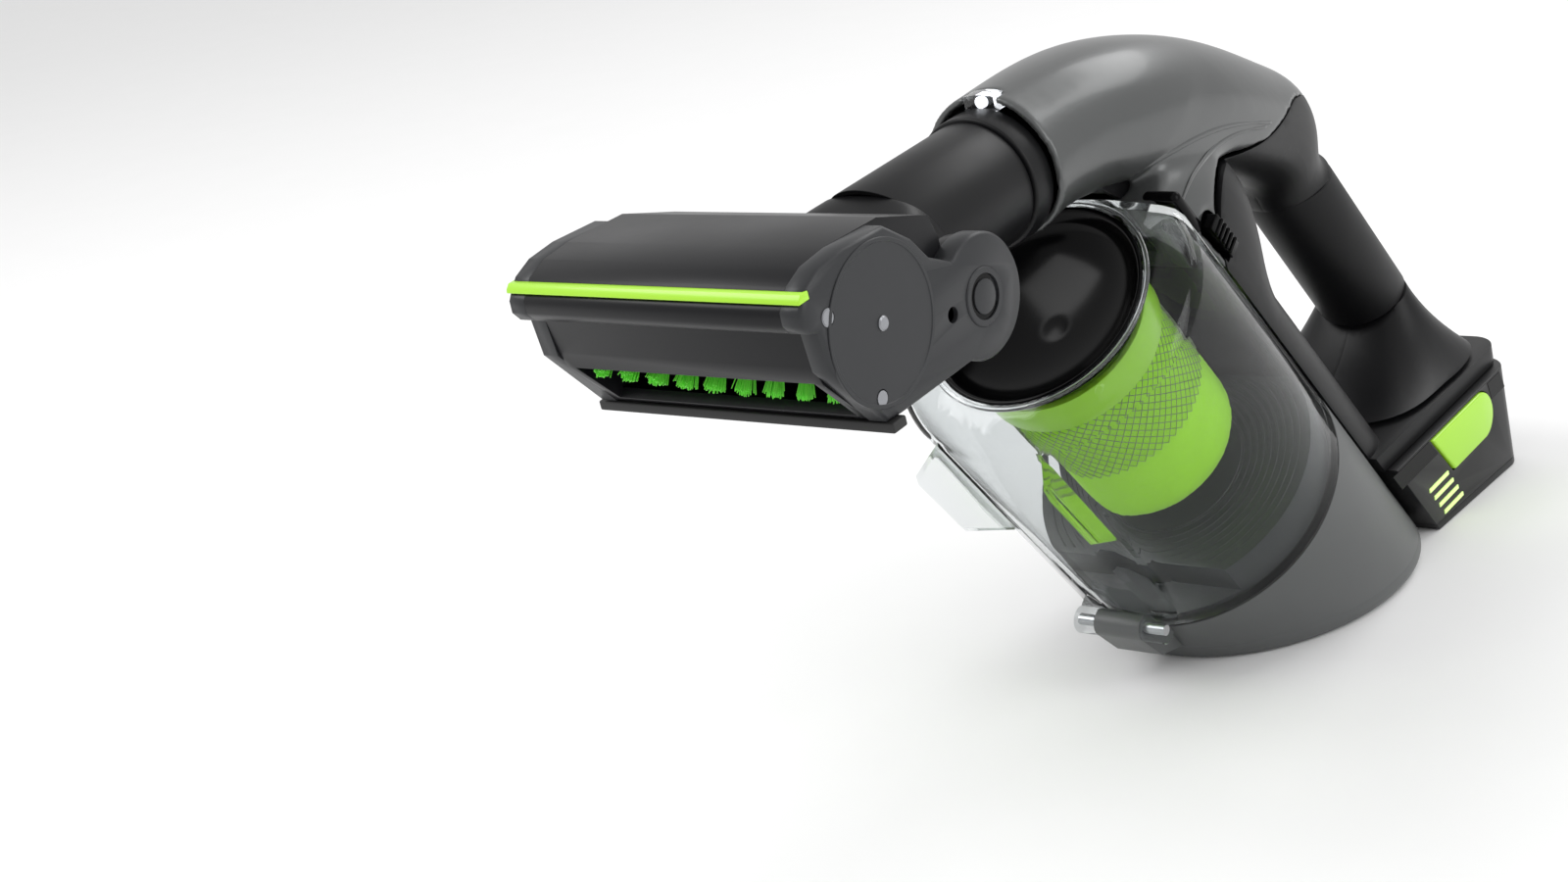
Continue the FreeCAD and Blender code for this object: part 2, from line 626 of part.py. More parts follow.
# The base cover and its screws are made on the level floor and then tipped into the drawing.
screw_ahead = axis_y(BASE_HEIGHT) - 12.5
screw_behind = axis_y(BASE_HEIGHT) + 27.5
BASE_SCREWS = [(BIN_R - 7.2, screw_ahead), (-BIN_R + 7.2, screw_ahead), (BIN_R - 14.5, screw_behind),
               (-BIN_R + 14.5, screw_behind)]
posts = [Part.makeCylinder(4.5, 14.0, Vector(x, y, BASE_HEIGHT), ALONG_Z) for x, y in BASE_SCREWS]
screws = []
for x, y in BASE_SCREWS:
    shank = Part.makeCylinder(1.5, 14.0, Vector(x, y, 3.0), ALONG_Z)
    head = Part.makeCylinder(2.8, 2.0, Vector(x, y, 1.0), ALONG_Z)
    screws.append(tip(head.fuse(shank)))
housing = stand(lean(column.cut(hollow))).fuse(posts)
housing = tip(housing.cut(box(-FAR, FAR, -FAR, FAR, -FAR, BASE_HEIGHT)))
arm_whole = arm.fuse(knuckle).cut(rod(HINGE_PIN_R, -FAR, FAR, HINGE_T, HINGE_B))
housing = housing.fuse(lean(arm_whole))
for screw in screws:
    housing = housing.cut(screw)
add("motor_housing", housing)
base = stand(lean(column)).common(box(-FAR, FAR, -FAR, FAR, 0.0, BASE_HEIGHT))
sole_edges = [edge for edge in base.Edges if edge.BoundBox.ZMax < 0.1]
base = base.makeFillet(BASE_ROUND, sole_edges)
sole_wall = HOUSING_WALL + 0.6
base = base.cut(stand(lean(hollow)).common(box(-FAR, FAR, -FAR, FAR, sole_wall, FAR)))
cover_posts = [Part.makeCylinder(4.5, BASE_HEIGHT - 2.0, Vector(x, y, 2.0), ALONG_Z) for x, y in BASE_SCREWS]
base = base.fuse(cover_posts)
for x, y in BASE_SCREWS:
    base = base.cut(Part.makeCylinder(3.1, 3.0, Vector(x, y, 0.0), ALONG_Z))
    base = base.cut(Part.makeCylinder(1.6, 30.0, Vector(x, y, 0.0), ALONG_Z))
for step in range(-4, 5):
    y = axis_y(0.0) + VENT_PITCH * step
    base = base.cut(box(-VENT_HALF, VENT_HALF, y - 2.0, y + 2.0, -1.0, sole_wall + 1.0))
add("base_cover", tip(base))
pad_room = disc(BIN_R - HOUSING_WALL - 14.0, deep, 0).cut(box(-FAR, FAR, SADDLE_T - 8.0, FAR, -FAR, FAR))
pad = stand(lean(pad_room)).common(box(-FAR, FAR, -FAR, FAR, sole_wall, BASE_HEIGHT - 1.5))
add("exhaust_filter", tip(pad))
add("housing_screws", Part.Compound(screws))

# ---- wall between bin and motor ----
plate_front = -BIN_LENGTH + SPIGOT_LENGTH
plate_wall = 2.2
skirt_back = HOUSING_B - 10.0
flat_top = BIN_TOP - BIN_WALL - 0.5
bulkhead = disc(SPIGOT_R, skirt_back, plate_front)
bulkhead = bulkhead.fuse(disc(BIN_R - HOUSING_WALL, skirt_back, skirt_back + 3.0))
bulkhead = bulkhead.cut(box(-FAR, FAR, flat_top, FAR, -FAR, FAR))
bulkhead = bulkhead.cut(box(-FAR, FAR, -FAR, -SPIGOT_FLAT, -BIN_LENGTH + SPIGOT_FOOT, FAR))
room = disc(SPIGOT_R - plate_wall, deep, plate_front - plate_wall)
room = room.cut(box(-FAR, FAR, flat_top - plate_wall, FAR, -FAR, FAR))
beside_hinge = box(-FAR, FAR, -FAR, -SPIGOT_FLAT + plate_wall, -BIN_LENGTH + SPIGOT_FOOT - plate_wall, FAR)
room = room.cut(beside_hinge)
bulkhead = bulkhead.cut(room)
for count, ring_r in GRILLE_RINGS:
    for step in range(count):
        angle = 2 * math.pi * step / count
        bulkhead = bulkhead.cut(disc(2.6, plate_front - 5.0, plate_front + 1.0, ring_r * math.cos(angle),
                                     ring_r * math.sin(angle)))
add("bulkhead", lean(bulkhead))
seal_ring = disc(BIN_R - 0.2, HOUSING_B, -BIN_LENGTH - 0.2).cut(disc(SPIGOT_R, -FAR, FAR))
add("bin_seal", lean(seal_ring.cut(box(-FAR, FAR, flat_top, FAR, -FAR, FAR))))

# ---- motor ----
bracket_front = plate_front - plate_wall
fan_front = HOUSING_B - 6.0
motor_front = fan_front - FAN_THICK - 4.0
bracket = disc(FAN_R + 3.0, motor_front, bracket_front).cut(disc(FAN_R + 1.0, motor_front + 2.0, 0))
bracket = bracket.cut(box(-FAR, FAR, FAN_R + 0.5, FAR, -FAR, FAR))
bracket = bracket.cut(box(-FAR, FAR, -FAR, -FAN_R + 0.5, -BIN_LENGTH + SPIGOT_FOOT - plate_wall - CLEAR, FAR))
bracket = bracket.cut(disc(SHAFT_R + 1.5, -FAR, FAR))
for step in range(8):
    angle = 2 * math.pi * (step + 0.5) / 8
    across = (FAN_R - 6.0) * math.cos(angle)
    bracket = bracket.cut(disc(5.0, -FAR, motor_front + 3.0, across, (FAN_R - 6.0) * math.sin(angle)))
add("motor_bracket", lean(bracket))
can = disc(MOTOR_R, motor_front - MOTOR_LENGTH, motor_front).cut(disc(SHAFT_R + SHAFT_FIT, -FAR, FAR))
add("motor_can", lean(can))
add("motor_shaft", lean(disc(SHAFT_R, motor_front - MOTOR_LENGTH + 1.0, fan_front)))
fan = disc(FAN_R, fan_front - FAN_THICK, fan_front - FAN_THICK + 1.6).fuse(
    disc(7.0, fan_front - FAN_THICK, fan_front))
for step in range(9):
    blade = box(6.0, FAN_R - 0.5, -0.7, 0.7, fan_front - FAN_THICK + 1.0, fan_front - 1.0)
    blade.rotate(Vector(0, 0, 0), ALONG_Z, 40.0 * step)
    fan = fan.fuse(blade)
add("fan_impeller", lean(fan.cut(disc(SHAFT_R, -FAR, FAR))))
mount = disc(MOTOR_R + 4.0, motor_front - 6.0, motor_front - 0.1).cut(disc(MOTOR_R, -FAR, FAR))
add("motor_mount", lean(mount))

# ---- battery ----
battery_foot = floor_y(BATTERY_FRONT)
battery_side = [(slope_y(BATTERY_FRONT, BATTERY_TOP), BATTERY_TOP), (battery_foot, floor_z(battery_foot)),
                (BATTERY_BACK, floor_z(BATTERY_BACK)), (BATTERY_BACK, BATTERY_TOP)]
block = prism(battery_side, -BATTERY_HALF, BATTERY_HALF)
back_edges = [edge for edge in block.Edges
              if edge.BoundBox.YMin > BATTERY_BACK - 0.1 and edge.BoundBox.ZLength > 5.0]
block = block.makeFillet(RIM_ROUND, back_edges)
ceiling = BATTERY_TOP - RAIL_DEPTH - 0.2
inside_foot = floor_y(BATTERY_FRONT + CASE_WALL, CASE_WALL)
inside_back = BATTERY_BACK - CASE_WALL
inside = [(slope_y(BATTERY_FRONT + CASE_WALL, ceiling), ceiling),
          (inside_foot, floor_z(inside_foot) + CASE_WALL),
          (inside_back, floor_z(inside_back) + CASE_WALL), (inside_back, ceiling)]
cavity = prism(inside, -BATTERY_HALF + CASE_WALL, BATTERY_HALF - CASE_WALL)
cavity_edges = [edge for edge in cavity.Edges
                if edge.BoundBox.YMin > inside_back - 0.1 and edge.BoundBox.ZLength > 5.0]
cavity = cavity.makeFillet(RIM_ROUND - CASE_WALL, cavity_edges)
case = block.cut(cavity)
case = case.cut(rail(CLEAR)).cut(mirrored(rail(CLEAR)))
case = case.cut(box(-12.0, 12.0, -FAR, CONTACT_BACK + 2.0, RIM_HEIGHT - 4.0, FAR))


def side_button(grow, x0, x1):
    """The release button: raked in front, like the battery, and round behind."""
    radius = BUTTON_HEIGHT / 2.0
    low = BUTTON_LOW - grow
    high = BUTTON_LOW + BUTTON_HEIGHT + grow
    front = BUTTON_FRONT - 1.5 * grow
    back = BUTTON_FRONT + BUTTON_LENGTH - radius
    straight = prism([(front, high), (back, high), (back, low), (front + BUTTON_RAKE, low)], x0, x1)
    return straight.fuse(rod(radius + grow, x0, x1, back, BUTTON_LOW + radius))


button_hole = side_button(CLEAR, BATTERY_HALF - 8.0, BATTERY_HALF + 5.0)
case = case.cut(button_hole).cut(mirrored(button_hole))
lights = []
for step in range(4):
    z = BUTTON_LOW + 1.0 - LIGHT_PITCH * step
    y = slope_y(BATTERY_FRONT, z) + LIGHT_INSET
    lights.append(box(BATTERY_HALF - 1.0, BATTERY_HALF + 0.3, y, y + LIGHT_LENGTH, z - 0.9, z + 0.9))
for light in lights:
    case = case.cut(light)
plate_line = [(-FAR, floor_z(-FAR) + BASE_PLATE), (FAR, floor_z(FAR) + BASE_PLATE), (FAR, -FAR), (-FAR, -FAR)]
below_plate = prism(plate_line, -FAR, FAR)
add("battery_case", case.cut(below_plate))
add("battery_base", case.common(below_plate))
add("charge_lights", Part.Compound(lights))
# Six cells lie across the pack: four on the floor plate and two on top of the rear ones.
cell_z = CASE_WALL + 0.3 + CELL_R
cell_back = inside_back - CELL_R - 4.0
cells = [(cell_back - CELL_PITCH * step, cell_z) for step in range(4)]
rise = math.sqrt((2 * CELL_R + 0.2) ** 2 - (CELL_PITCH / 2) ** 2)
cells += [(cell_back - CELL_PITCH * (step + 0.5), cell_z + rise) for step in range(2)]
cell_rods = [rod(CELL_R, -CELL_LENGTH / 2, CELL_LENGTH / 2, y, z) for y, z in cells]
add("battery_cells", tip(Part.Compound(cell_rods)))
board_y = cell_back - 3.0 * CELL_PITCH
board_z = ceiling - 10.0
add("battery_board", box(-30.0, 30.0, board_y - 4.0, board_y + 13.0, board_z, board_z + BOARD_THICK))
strips = [box(x0, x0 + 4.0, CONTACT_BACK - 14.0, CONTACT_BACK - 4.0, RIM_HEIGHT - 4.0, RIM_HEIGHT - 3.8)
          for x0 in (-9.0, 5.0)]
add("battery_terminals", Part.Compound(strips))
add("battery_contacts", box(-10.0, 10.0, CONTACT_BACK - 20.0, CONTACT_BACK, RIM_HEIGHT - 3.5, RIM_HEIGHT))
button = side_button(0.0, BATTERY_HALF - 5.5, BATTERY_HALF + 1.0)
add("battery_button_left", button)
add("battery_button_right", mirrored(button))
leaf = box(35.0, 35.7, BUTTON_FRONT + 8.0, BUTTON_FRONT + 34.0, BUTTON_LOW + 5.0, BUTTON_LOW + 12.0)
add("button_springs", Part.Compound([leaf, mirrored(leaf)]))

# ---- neck: the tube that pushes onto the machine and the barrel that the head pivots on ----
tube_back = SPINE_FRONT - COLLAR_LENGTH - 0.5
tube_seat = SPOUT_FRONT - 2.0
slant = prism([(-76.0 - 10.0 * 4, 235.0 + 17.0 * 4), (-66.0 + 10.0 * 4, 218.0 - 17.0 * 4), (200.0, 150.0),
               (200.0, 303.0)], -FAR, FAR)
straight = barrel(NOZZLE_R, -90.0, tube_back, NOZZLE_HEIGHT)
bore = barrel(SPOUT_R + SPOUT_FIT, tube_seat, FAR, NOZZLE_HEIGHT).fuse(
    barrel(NOZZLE_R - SPOUT_WALL, -FAR, tube_seat, NOZZLE_HEIGHT))
add("nozzle_tube", straight.cut(bore).common(slant))
NECK = [(-48.0, NOZZLE_HEIGHT, 0.0, NOZZLE_R, NOZZLE_R, NOZZLE_R, 2.0),
        (-66.0, NOZZLE_HEIGHT, 0.0, NOZZLE_R, NOZZLE_R, NOZZLE_R, 2.0),
        (-79.0, NOZZLE_HEIGHT - 1.0, 0.0, 19.5, 19.5, 30.0, 2.4),
        (PIVOT_Y + 5.0, PIVOT_Z, 0.0, BARREL_R - 1.0, BARREL_R - 1.0, 37.0, 3.0)]
barrel_half = HOUSING_HALF - EAR_THICK - 0.5
neck = loft([station(*row) for row in NECK]).fuse(rod(BARREL_R, -barrel_half, barrel_half, PIVOT_Y, PIVOT_Z))
neck = neck.cut(slant)
inside_neck = loft([station(*row, 2.0) for row in NECK])
bore_half = barrel_half - 2.0
neck = neck.cut(inside_neck).cut(rod(BARREL_R - 2.0, -bore_half, bore_half, PIVOT_Y, PIVOT_Z))
motor_end = -2.0
web = rod(BARREL_R - 1.0, motor_end, motor_end + 2.0, PIVOT_Y, PIVOT_Z)
journals = [rod(JOURNAL_R, x0, x1, PIVOT_Y, PIVOT_Z)
            for x0, x1 in ((-HOUSING_HALF + 0.2, -bore_half - 1.0), (bore_half + 1.0, HOUSING_HALF - 0.2))]
DRIVE_SHAFT_R = 1.5
neck = neck.fuse([web] + journals).cut(rod(DRIVE_SHAFT_R + SHAFT_FIT, motor_end - 1.0, FAR, PIVOT_Y, PIVOT_Z))
port = box(4.0, 40.0, PIVOT_Y - 30.0, PIVOT_Y, PIVOT_Z - 8.0, PIVOT_Z + 8.0)
neck = neck.cut(port)
add("neck", neck)
add("drive_motor", rod(10.5, -bore_half + 1.0, motor_end, PIVOT_Y, PIVOT_Z))
pulley_x = HOUSING_HALF + 1.0
pulley_end = pulley_x + PULLEY_WIDTH
add("drive_shaft", rod(DRIVE_SHAFT_R, motor_end + 0.2, pulley_end, PIVOT_Y, PIVOT_Z))
add("drive_pulley", rod(DRIVE_PULLEY_R, pulley_x, pulley_end, PIVOT_Y, PIVOT_Z).cut(
    rod(DRIVE_SHAFT_R, -FAR, FAR, PIVOT_Y, PIVOT_Z)))

# ---- brush head ----
HEAD_NOSE = [(-153.0, 250.0), (-164.0, 249.0), (-171.0, 246.2), (-173.6, 243.6), (-176.0, 240.5),
             (-176.2, 236.8), (-173.8, 233.6), (-170.0, 232.2)]
HEAD_SIDE = [(-103.0, 233.0), (-106.0, 241.0), (-128.0, 249.0)] + HEAD_NOSE + [
    (-168.6, 221.0), (-166.0, 214.8), (-151.0, 197.5), (-144.0, 196.4), (-104.0, 196.4)]
COVER_SIDE = [(-123.0, 240.5), (-134.0, 249.0)] + HEAD_NOSE + [
    (-169.0, 220.0), (-151.0, 197.0), (-144.0, 196.4), (-91.0, 196.4), (-91.0, 222.0), (-108.0, 227.5),
    (-117.0, 232.5)]
MOUTH_HALF = HOUSING_HALF - 3.0
head = prism(HEAD_SIDE, -HOUSING_HALF, HOUSING_HALF)
ear_in = HOUSING_HALF - EAR_THICK
ears = [rod(EAR_R, x0, x1, PIVOT_Y, PIVOT_Z) for x0, x1 in ((-HOUSING_HALF, -ear_in), (ear_in, HOUSING_HALF))]
head = head.cut(rod(BARREL_R + 0.6, -ear_in, ear_in, PIVOT_Y, PIVOT_Z))
head = head.fuse(ears)
head = head.cut(rod(CHAMBER_R, -MOUTH_HALF, MOUTH_HALF, ROLLER_Y, ROLLER_Z))
mouth = [(-150.0, 224.0), (-166.2, 214.8), (-182.0, 202.0), (-162.0, 188.0), (-150.6, 200.4), (-142.0, 212.0)]
head = head.cut(prism(mouth, -MOUTH_HALF, MOUTH_HALF))
head = head.cut(box(6.0, 38.0, ROLLER_Y, PIVOT_Y, PIVOT_Z - 7.0, PIVOT_Z + 7.0))
head = head.cut(rod(JOURNAL_R + PIN_FIT, -FAR, FAR, PIVOT_Y, PIVOT_Z))
BUSH_R = 5.0
head = head.cut(rod(BUSH_R, -FAR, FAR, ROLLER_Y, ROLLER_Z))
strip_side = [(-170.6, 242.6), (-175.4, 242.6), (-175.1, 243.8), (-173.7, 245.2), (-170.6, 245.2)]
strip = prism(strip_side, -HEAD_HALF, HEAD_HALF)
head = head.cut(strip)
add("bumper_strip", strip)
cover = prism(COVER_SIDE, HOUSING_HALF, HEAD_HALF).fuse(
    rod(EAR_R + 1.0, HOUSING_HALF, HEAD_HALF, PIVOT_Y, PIVOT_Z)).removeSplitter()
rim_edges = [edge for edge in cover.Edges if edge.BoundBox.XMin > HEAD_HALF - 0.01]
cover = cover.makeChamfer(1.0, rim_edges)
cover_room = two_circles(ROLLER_Y, ROLLER_Z, ROLLER_PULLEY_R + 4.0, PIVOT_Y, PIVOT_Z, JOURNAL_R + 1.0,
                         HOUSING_HALF - 1.0, HEAD_HALF - 1.6)
cover = cover.cut(cover_room).cut(strip)
end_cap = mirrored(cover)
CAP_R = 9.0
cover = cover.cut(rod(CAP_R, -FAR, FAR, PIVOT_Y, PIVOT_Z))
cover = cover.cut(rod(2.4, HOUSING_HALF + 3.0, FAR, -113.0, 213.0))
SCREW_SPOTS = [(-165.5, 235.0), (-151.5, 204.5)]
cover_screws = []
for y, z in SCREW_SPOTS:
    shank = rod(1.2, HOUSING_HALF - 2.0, HEAD_HALF - 0.9, y, z)
    screw = shank.fuse(rod(2.6, HEAD_HALF - 0.9, HEAD_HALF + 0.2, y, z))
    cover_screws += [screw, mirrored(screw)]
for screw in cover_screws:
    head = head.cut(screw)
    cover = cover.cut(screw)
    end_cap = end_cap.cut(screw)
add("head_housing", head)
add("side_cover", cover)
add("end_cap", end_cap)
add("cover_screws", Part.Compound(cover_screws))
cap = rod(CAP_R - 0.1, HEAD_HALF - 1.8, HEAD_HALF + 0.4, PIVOT_Y, PIVOT_Z)
cap = cap.cut(box(HEAD_HALF - 0.5, FAR, PIVOT_Y - 6.0, PIVOT_Y + 6.0, PIVOT_Z - 0.9, PIVOT_Z + 0.9))
add("pivot_cap", cap)
lip_half = HEAD_HALF + 1.2
add("head_lip", box(-lip_half, lip_half, -151.0, -144.5, 193.2, 196.4))
belt = two_circles(ROLLER_Y, ROLLER_Z, ROLLER_PULLEY_R + BELT_THICK, PIVOT_Y, PIVOT_Z,
                   DRIVE_PULLEY_R + BELT_THICK, pulley_x + 0.2, pulley_end - 0.2)
belt = belt.cut(two_circles(ROLLER_Y, ROLLER_Z, ROLLER_PULLEY_R + PIN_FIT, PIVOT_Y, PIVOT_Z,
                            DRIVE_PULLEY_R + PIN_FIT, pulley_x, pulley_end))
add("drive_belt", belt)

# ---- roller ----
core_half = MOUTH_HALF - 0.8
roller_axle = rod(AXLE_R, -HOUSING_HALF + 0.3, pulley_end, ROLLER_Y, ROLLER_Z)
add("roller_axle", roller_axle)
add("roller_core", rod(CORE_R, -core_half, core_half, ROLLER_Y, ROLLER_Z).cut(roller_axle))
add("roller_pulley", rod(ROLLER_PULLEY_R, pulley_x, pulley_end, ROLLER_Y, ROLLER_Z).cut(roller_axle))
axle_hole = rod(AXLE_R + PIN_FIT, -FAR, FAR, ROLLER_Y, ROLLER_Z)
bushes = [rod(BUSH_R, x0, x0 + 3.0, ROLLER_Y, ROLLER_Z).cut(axle_hole) for x0 in (-HOUSING_HALF, MOUTH_HALF)]
add("roller_bushes", Part.Compound(bushes))
tufts = []
for row in range(TUFT_ROWS):
    for step in range(TUFTS_IN_ROW):
        share = step / (TUFTS_IN_ROW - 1)
        x = -core_half + 5.0 + share * (2 * core_half - 10.0)
        angle = math.radians(TUFT_START + TUFT_TWIST * (share - 0.5) + 360.0 * row / TUFT_ROWS)
        out = Vector(0, math.cos(angle), math.sin(angle))
        foot = Vector(x, ROLLER_Y, ROLLER_Z) + out * (CORE_R + 0.05)
        tufts.append(Part.makeCone(1.3, 2.7, BRISTLE_R - CORE_R - 0.3, foot, out))
add("bristle_tufts", Part.Compound(tufts))

# ---- origin under the middle of the machine, on the floor ----
everything = stand(Part.Compound(list(parts.values()))).optimalBoundingBox(False)
shift = Vector(-(everything.XMin + everything.XMax) / 2, -(everything.YMin + everything.YMax) / 2, 0)
os.makedirs("parts", exist_ok=True)
for node, shape in parts.items():
    moved = stand(shape)
    moved.translate(shift)
    moved.exportStep("parts/" + node + ".step")
print("nodes", len(parts), "shift", [round(value, 4) for value in shift])
print("box", [round(value, 2) for value in (everything.XMin, everything.XMax, everything.YMin,
                                            everything.YMax, everything.ZMin, everything.ZMax)])
for node, shape in parts.items():
    whole_solid = len(shape.Solids) == 1 or (shape.ShapeType == "Compound" and len(shape.Solids) > 1)
    if not shape.isValid() or not whole_solid:
        print("check", node, shape.ShapeType, len(shape.Solids), shape.isValid())
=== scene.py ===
# %% [markdown]
# This lesson dresses a cordless handheld vacuum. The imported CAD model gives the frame: every part
# in its true place, in metres. Blender adds what the eye judges: softened mouldings, foam, mesh,
# bristles, clear plastic and the finish of every surface.

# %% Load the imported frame
import json
import math

import bmesh
import bpy
from mathutils import Matrix, Vector, noise
from mathutils.bvhtree import BVHTree
from mathutils.geometry import interpolate_bezier


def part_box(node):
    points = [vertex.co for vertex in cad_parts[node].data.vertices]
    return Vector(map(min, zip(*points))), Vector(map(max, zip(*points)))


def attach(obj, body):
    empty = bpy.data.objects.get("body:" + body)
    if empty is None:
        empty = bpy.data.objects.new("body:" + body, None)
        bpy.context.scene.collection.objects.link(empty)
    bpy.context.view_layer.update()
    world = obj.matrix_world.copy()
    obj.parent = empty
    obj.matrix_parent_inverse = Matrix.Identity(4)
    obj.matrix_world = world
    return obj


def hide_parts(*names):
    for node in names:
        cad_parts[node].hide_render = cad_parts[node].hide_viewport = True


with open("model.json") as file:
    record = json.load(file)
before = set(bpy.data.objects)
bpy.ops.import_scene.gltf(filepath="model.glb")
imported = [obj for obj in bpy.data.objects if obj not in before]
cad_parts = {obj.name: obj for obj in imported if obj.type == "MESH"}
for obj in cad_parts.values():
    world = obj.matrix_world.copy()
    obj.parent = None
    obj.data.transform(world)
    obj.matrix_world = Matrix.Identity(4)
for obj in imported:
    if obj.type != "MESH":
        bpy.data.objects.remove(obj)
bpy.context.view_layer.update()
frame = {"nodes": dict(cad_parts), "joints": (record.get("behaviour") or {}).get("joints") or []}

# %% [markdown]
# The machine is drawn in two leaning frames. The bin, filter and motor share one axis, and the
# brush head hangs on a pivot in front of the nozzle. Both frames are read from the joints, so a
# piece given in millimetres across, above and along an axis lands where the CAD part is.

# %% Two leaning frames
MM = 0.001
joints = {joint["name"]: joint for joint in frame["joints"]}
ACROSS = Vector((1, 0, 0))
BIN_AXIS = Vector(joints["fan_spin"]["axis"]).normalized()
BIN_TOP = -Vector(joints["power_press"]["axis"]).normalized()
NOZZLE_BACK = -Vector(joints["head_pull"]["axis"]).normalized()
NOZZLE_UP = ACROSS.cross(NOZZLE_BACK)
PIVOT = Vector(joints["head_tilt"]["pos_m"])
ROLLER = Vector(joints["roller_spin"]["pos_m"])


def reach(node, start, direction):
    """How far a node reaches from a point along a direction."""
    return max((vertex.co - start).dot(direction) for vertex in frame["nodes"][node].data.vertices)


motor_spot = Vector(joints["fan_spin"]["pos_m"])
DISC = motor_spot + BIN_AXIS * reach("filter_cup", motor_spot, BIN_AXIS)
bin_frame = Matrix.Translation(DISC) @ Matrix((ACROSS, BIN_TOP, BIN_AXIS)).transposed().to_4x4()
head_frame = Matrix.Translation(PIVOT) @ Matrix((ACROSS, NOZZLE_BACK, NOZZLE_UP)).transposed().to_4x4()
roller_frame = Matrix.Translation(ROLLER) @ Matrix((NOZZLE_BACK, NOZZLE_UP, ACROSS)).transposed().to_4x4()
pivot_frame = Matrix.Translation(PIVOT) @ Matrix((NOZZLE_BACK, NOZZLE_UP, ACROSS)).transposed().to_4x4()
print("front disc at", [round(value, 4) for value in DISC])

# %% [markdown]
# Two effects return in many finishes, so each is a node group. "moulded_grain" gives a fine
# spark-eroded texture and an uneven polish. "soft_tone" shifts a colour a little over the surface
# and lets faint dust gather, because no moulding is one flat colour.


# %% Shader groups for grain and tone
def shader_group(name, inputs, outputs):
    """An empty shader group with named sockets, and its input and output nodes."""
    group = bpy.data.node_groups.new(name, "ShaderNodeTree")
    for label, kind, value in inputs:
        socket = group.interface.new_socket(label, in_out="INPUT", socket_type=kind)
        socket.default_value = value
    for label, kind in outputs:
        group.interface.new_socket(label, in_out="OUTPUT", socket_type=kind)
    return group, group.nodes.new("NodeGroupInput"), group.nodes.new("NodeGroupOutput")


def noise_at(nodes, links, vector, detail):
    texture = nodes.new("ShaderNodeTexNoise")
    texture.inputs["Detail"].default_value = detail
    links.new(vector, texture.inputs["Vector"])
    return texture


NUMBER = "NodeSocketFloat"
COLOUR = "NodeSocketColor"

grain, entry, leave = shader_group(
    "moulded_grain",
    [("Grain Scale", NUMBER, 2500.0), ("Depth", NUMBER, 0.1), ("Roughness", NUMBER, 0.4),
     ("Unevenness", NUMBER, 0.08)],
    [("Roughness", NUMBER), ("Normal", "NodeSocketVector")])
nodes, links = grain.nodes, grain.links
place = nodes.new("ShaderNodeTexCoord").outputs["Object"]
pits = noise_at(nodes, links, place, 2.0)
links.new(entry.outputs["Grain Scale"], pits.inputs["Scale"])
bump = nodes.new("ShaderNodeBump")
bump.inputs["Distance"].default_value = 0.00008
links.new(entry.outputs["Depth"], bump.inputs["Strength"])
links.new(pits.outputs["Fac"], bump.inputs["Height"])
links.new(bump.outputs["Normal"], leave.inputs["Normal"])
cloud = noise_at(nodes, links, place, 3.0)
cloud.inputs["Scale"].default_value = 38.0
centred = nodes.new("ShaderNodeMath")
centred.operation = "SUBTRACT"
centred.inputs[1].default_value = 0.5
links.new(cloud.outputs["Fac"], centred.inputs[0])
polish = nodes.new("ShaderNodeMath")
polish.operation = "MULTIPLY_ADD"
links.new(centred.outputs["Value"], polish.inputs[0])
links.new(entry.outputs["Unevenness"], polish.inputs[1])
links.new(entry.outputs["Roughness"], polish.inputs[2])
links.new(polish.outputs["Value"], leave.inputs["Roughness"])

tone, entry, leave = shader_group(
    "soft_tone",
    [("Colour", COLOUR, (0.1, 0.1, 0.1, 1)), ("Second", COLOUR, (0.12, 0.12, 0.12, 1)),
     ("Scale", NUMBER, 25.0)],
    [("Colour", COLOUR)])
nodes, links = tone.nodes, tone.links
cloud = noise_at(nodes, links, nodes.new("ShaderNodeTexCoord").outputs["Object"], 5.0)
links.new(entry.outputs["Scale"], cloud.inputs["Scale"])
blend = nodes.new("ShaderNodeMix")
blend.data_type = "RGBA"
links.new(cloud.outputs["Fac"], blend.inputs["Factor"])
links.new(entry.outputs["Colour"], blend.inputs["A"])
links.new(entry.outputs["Second"], blend.inputs["B"])
links.new(blend.outputs["Result"], leave.inputs["Colour"])
print("shader groups", [group.name for group in bpy.data.node_groups])

# %% [markdown]
# Nearly every finish on this machine is a moulded plastic or a metal part, and they differ in
# colour, gloss and grain only. One function builds them from both groups. Clear plastic, foam,
# wire and light bars get functions of their own below.


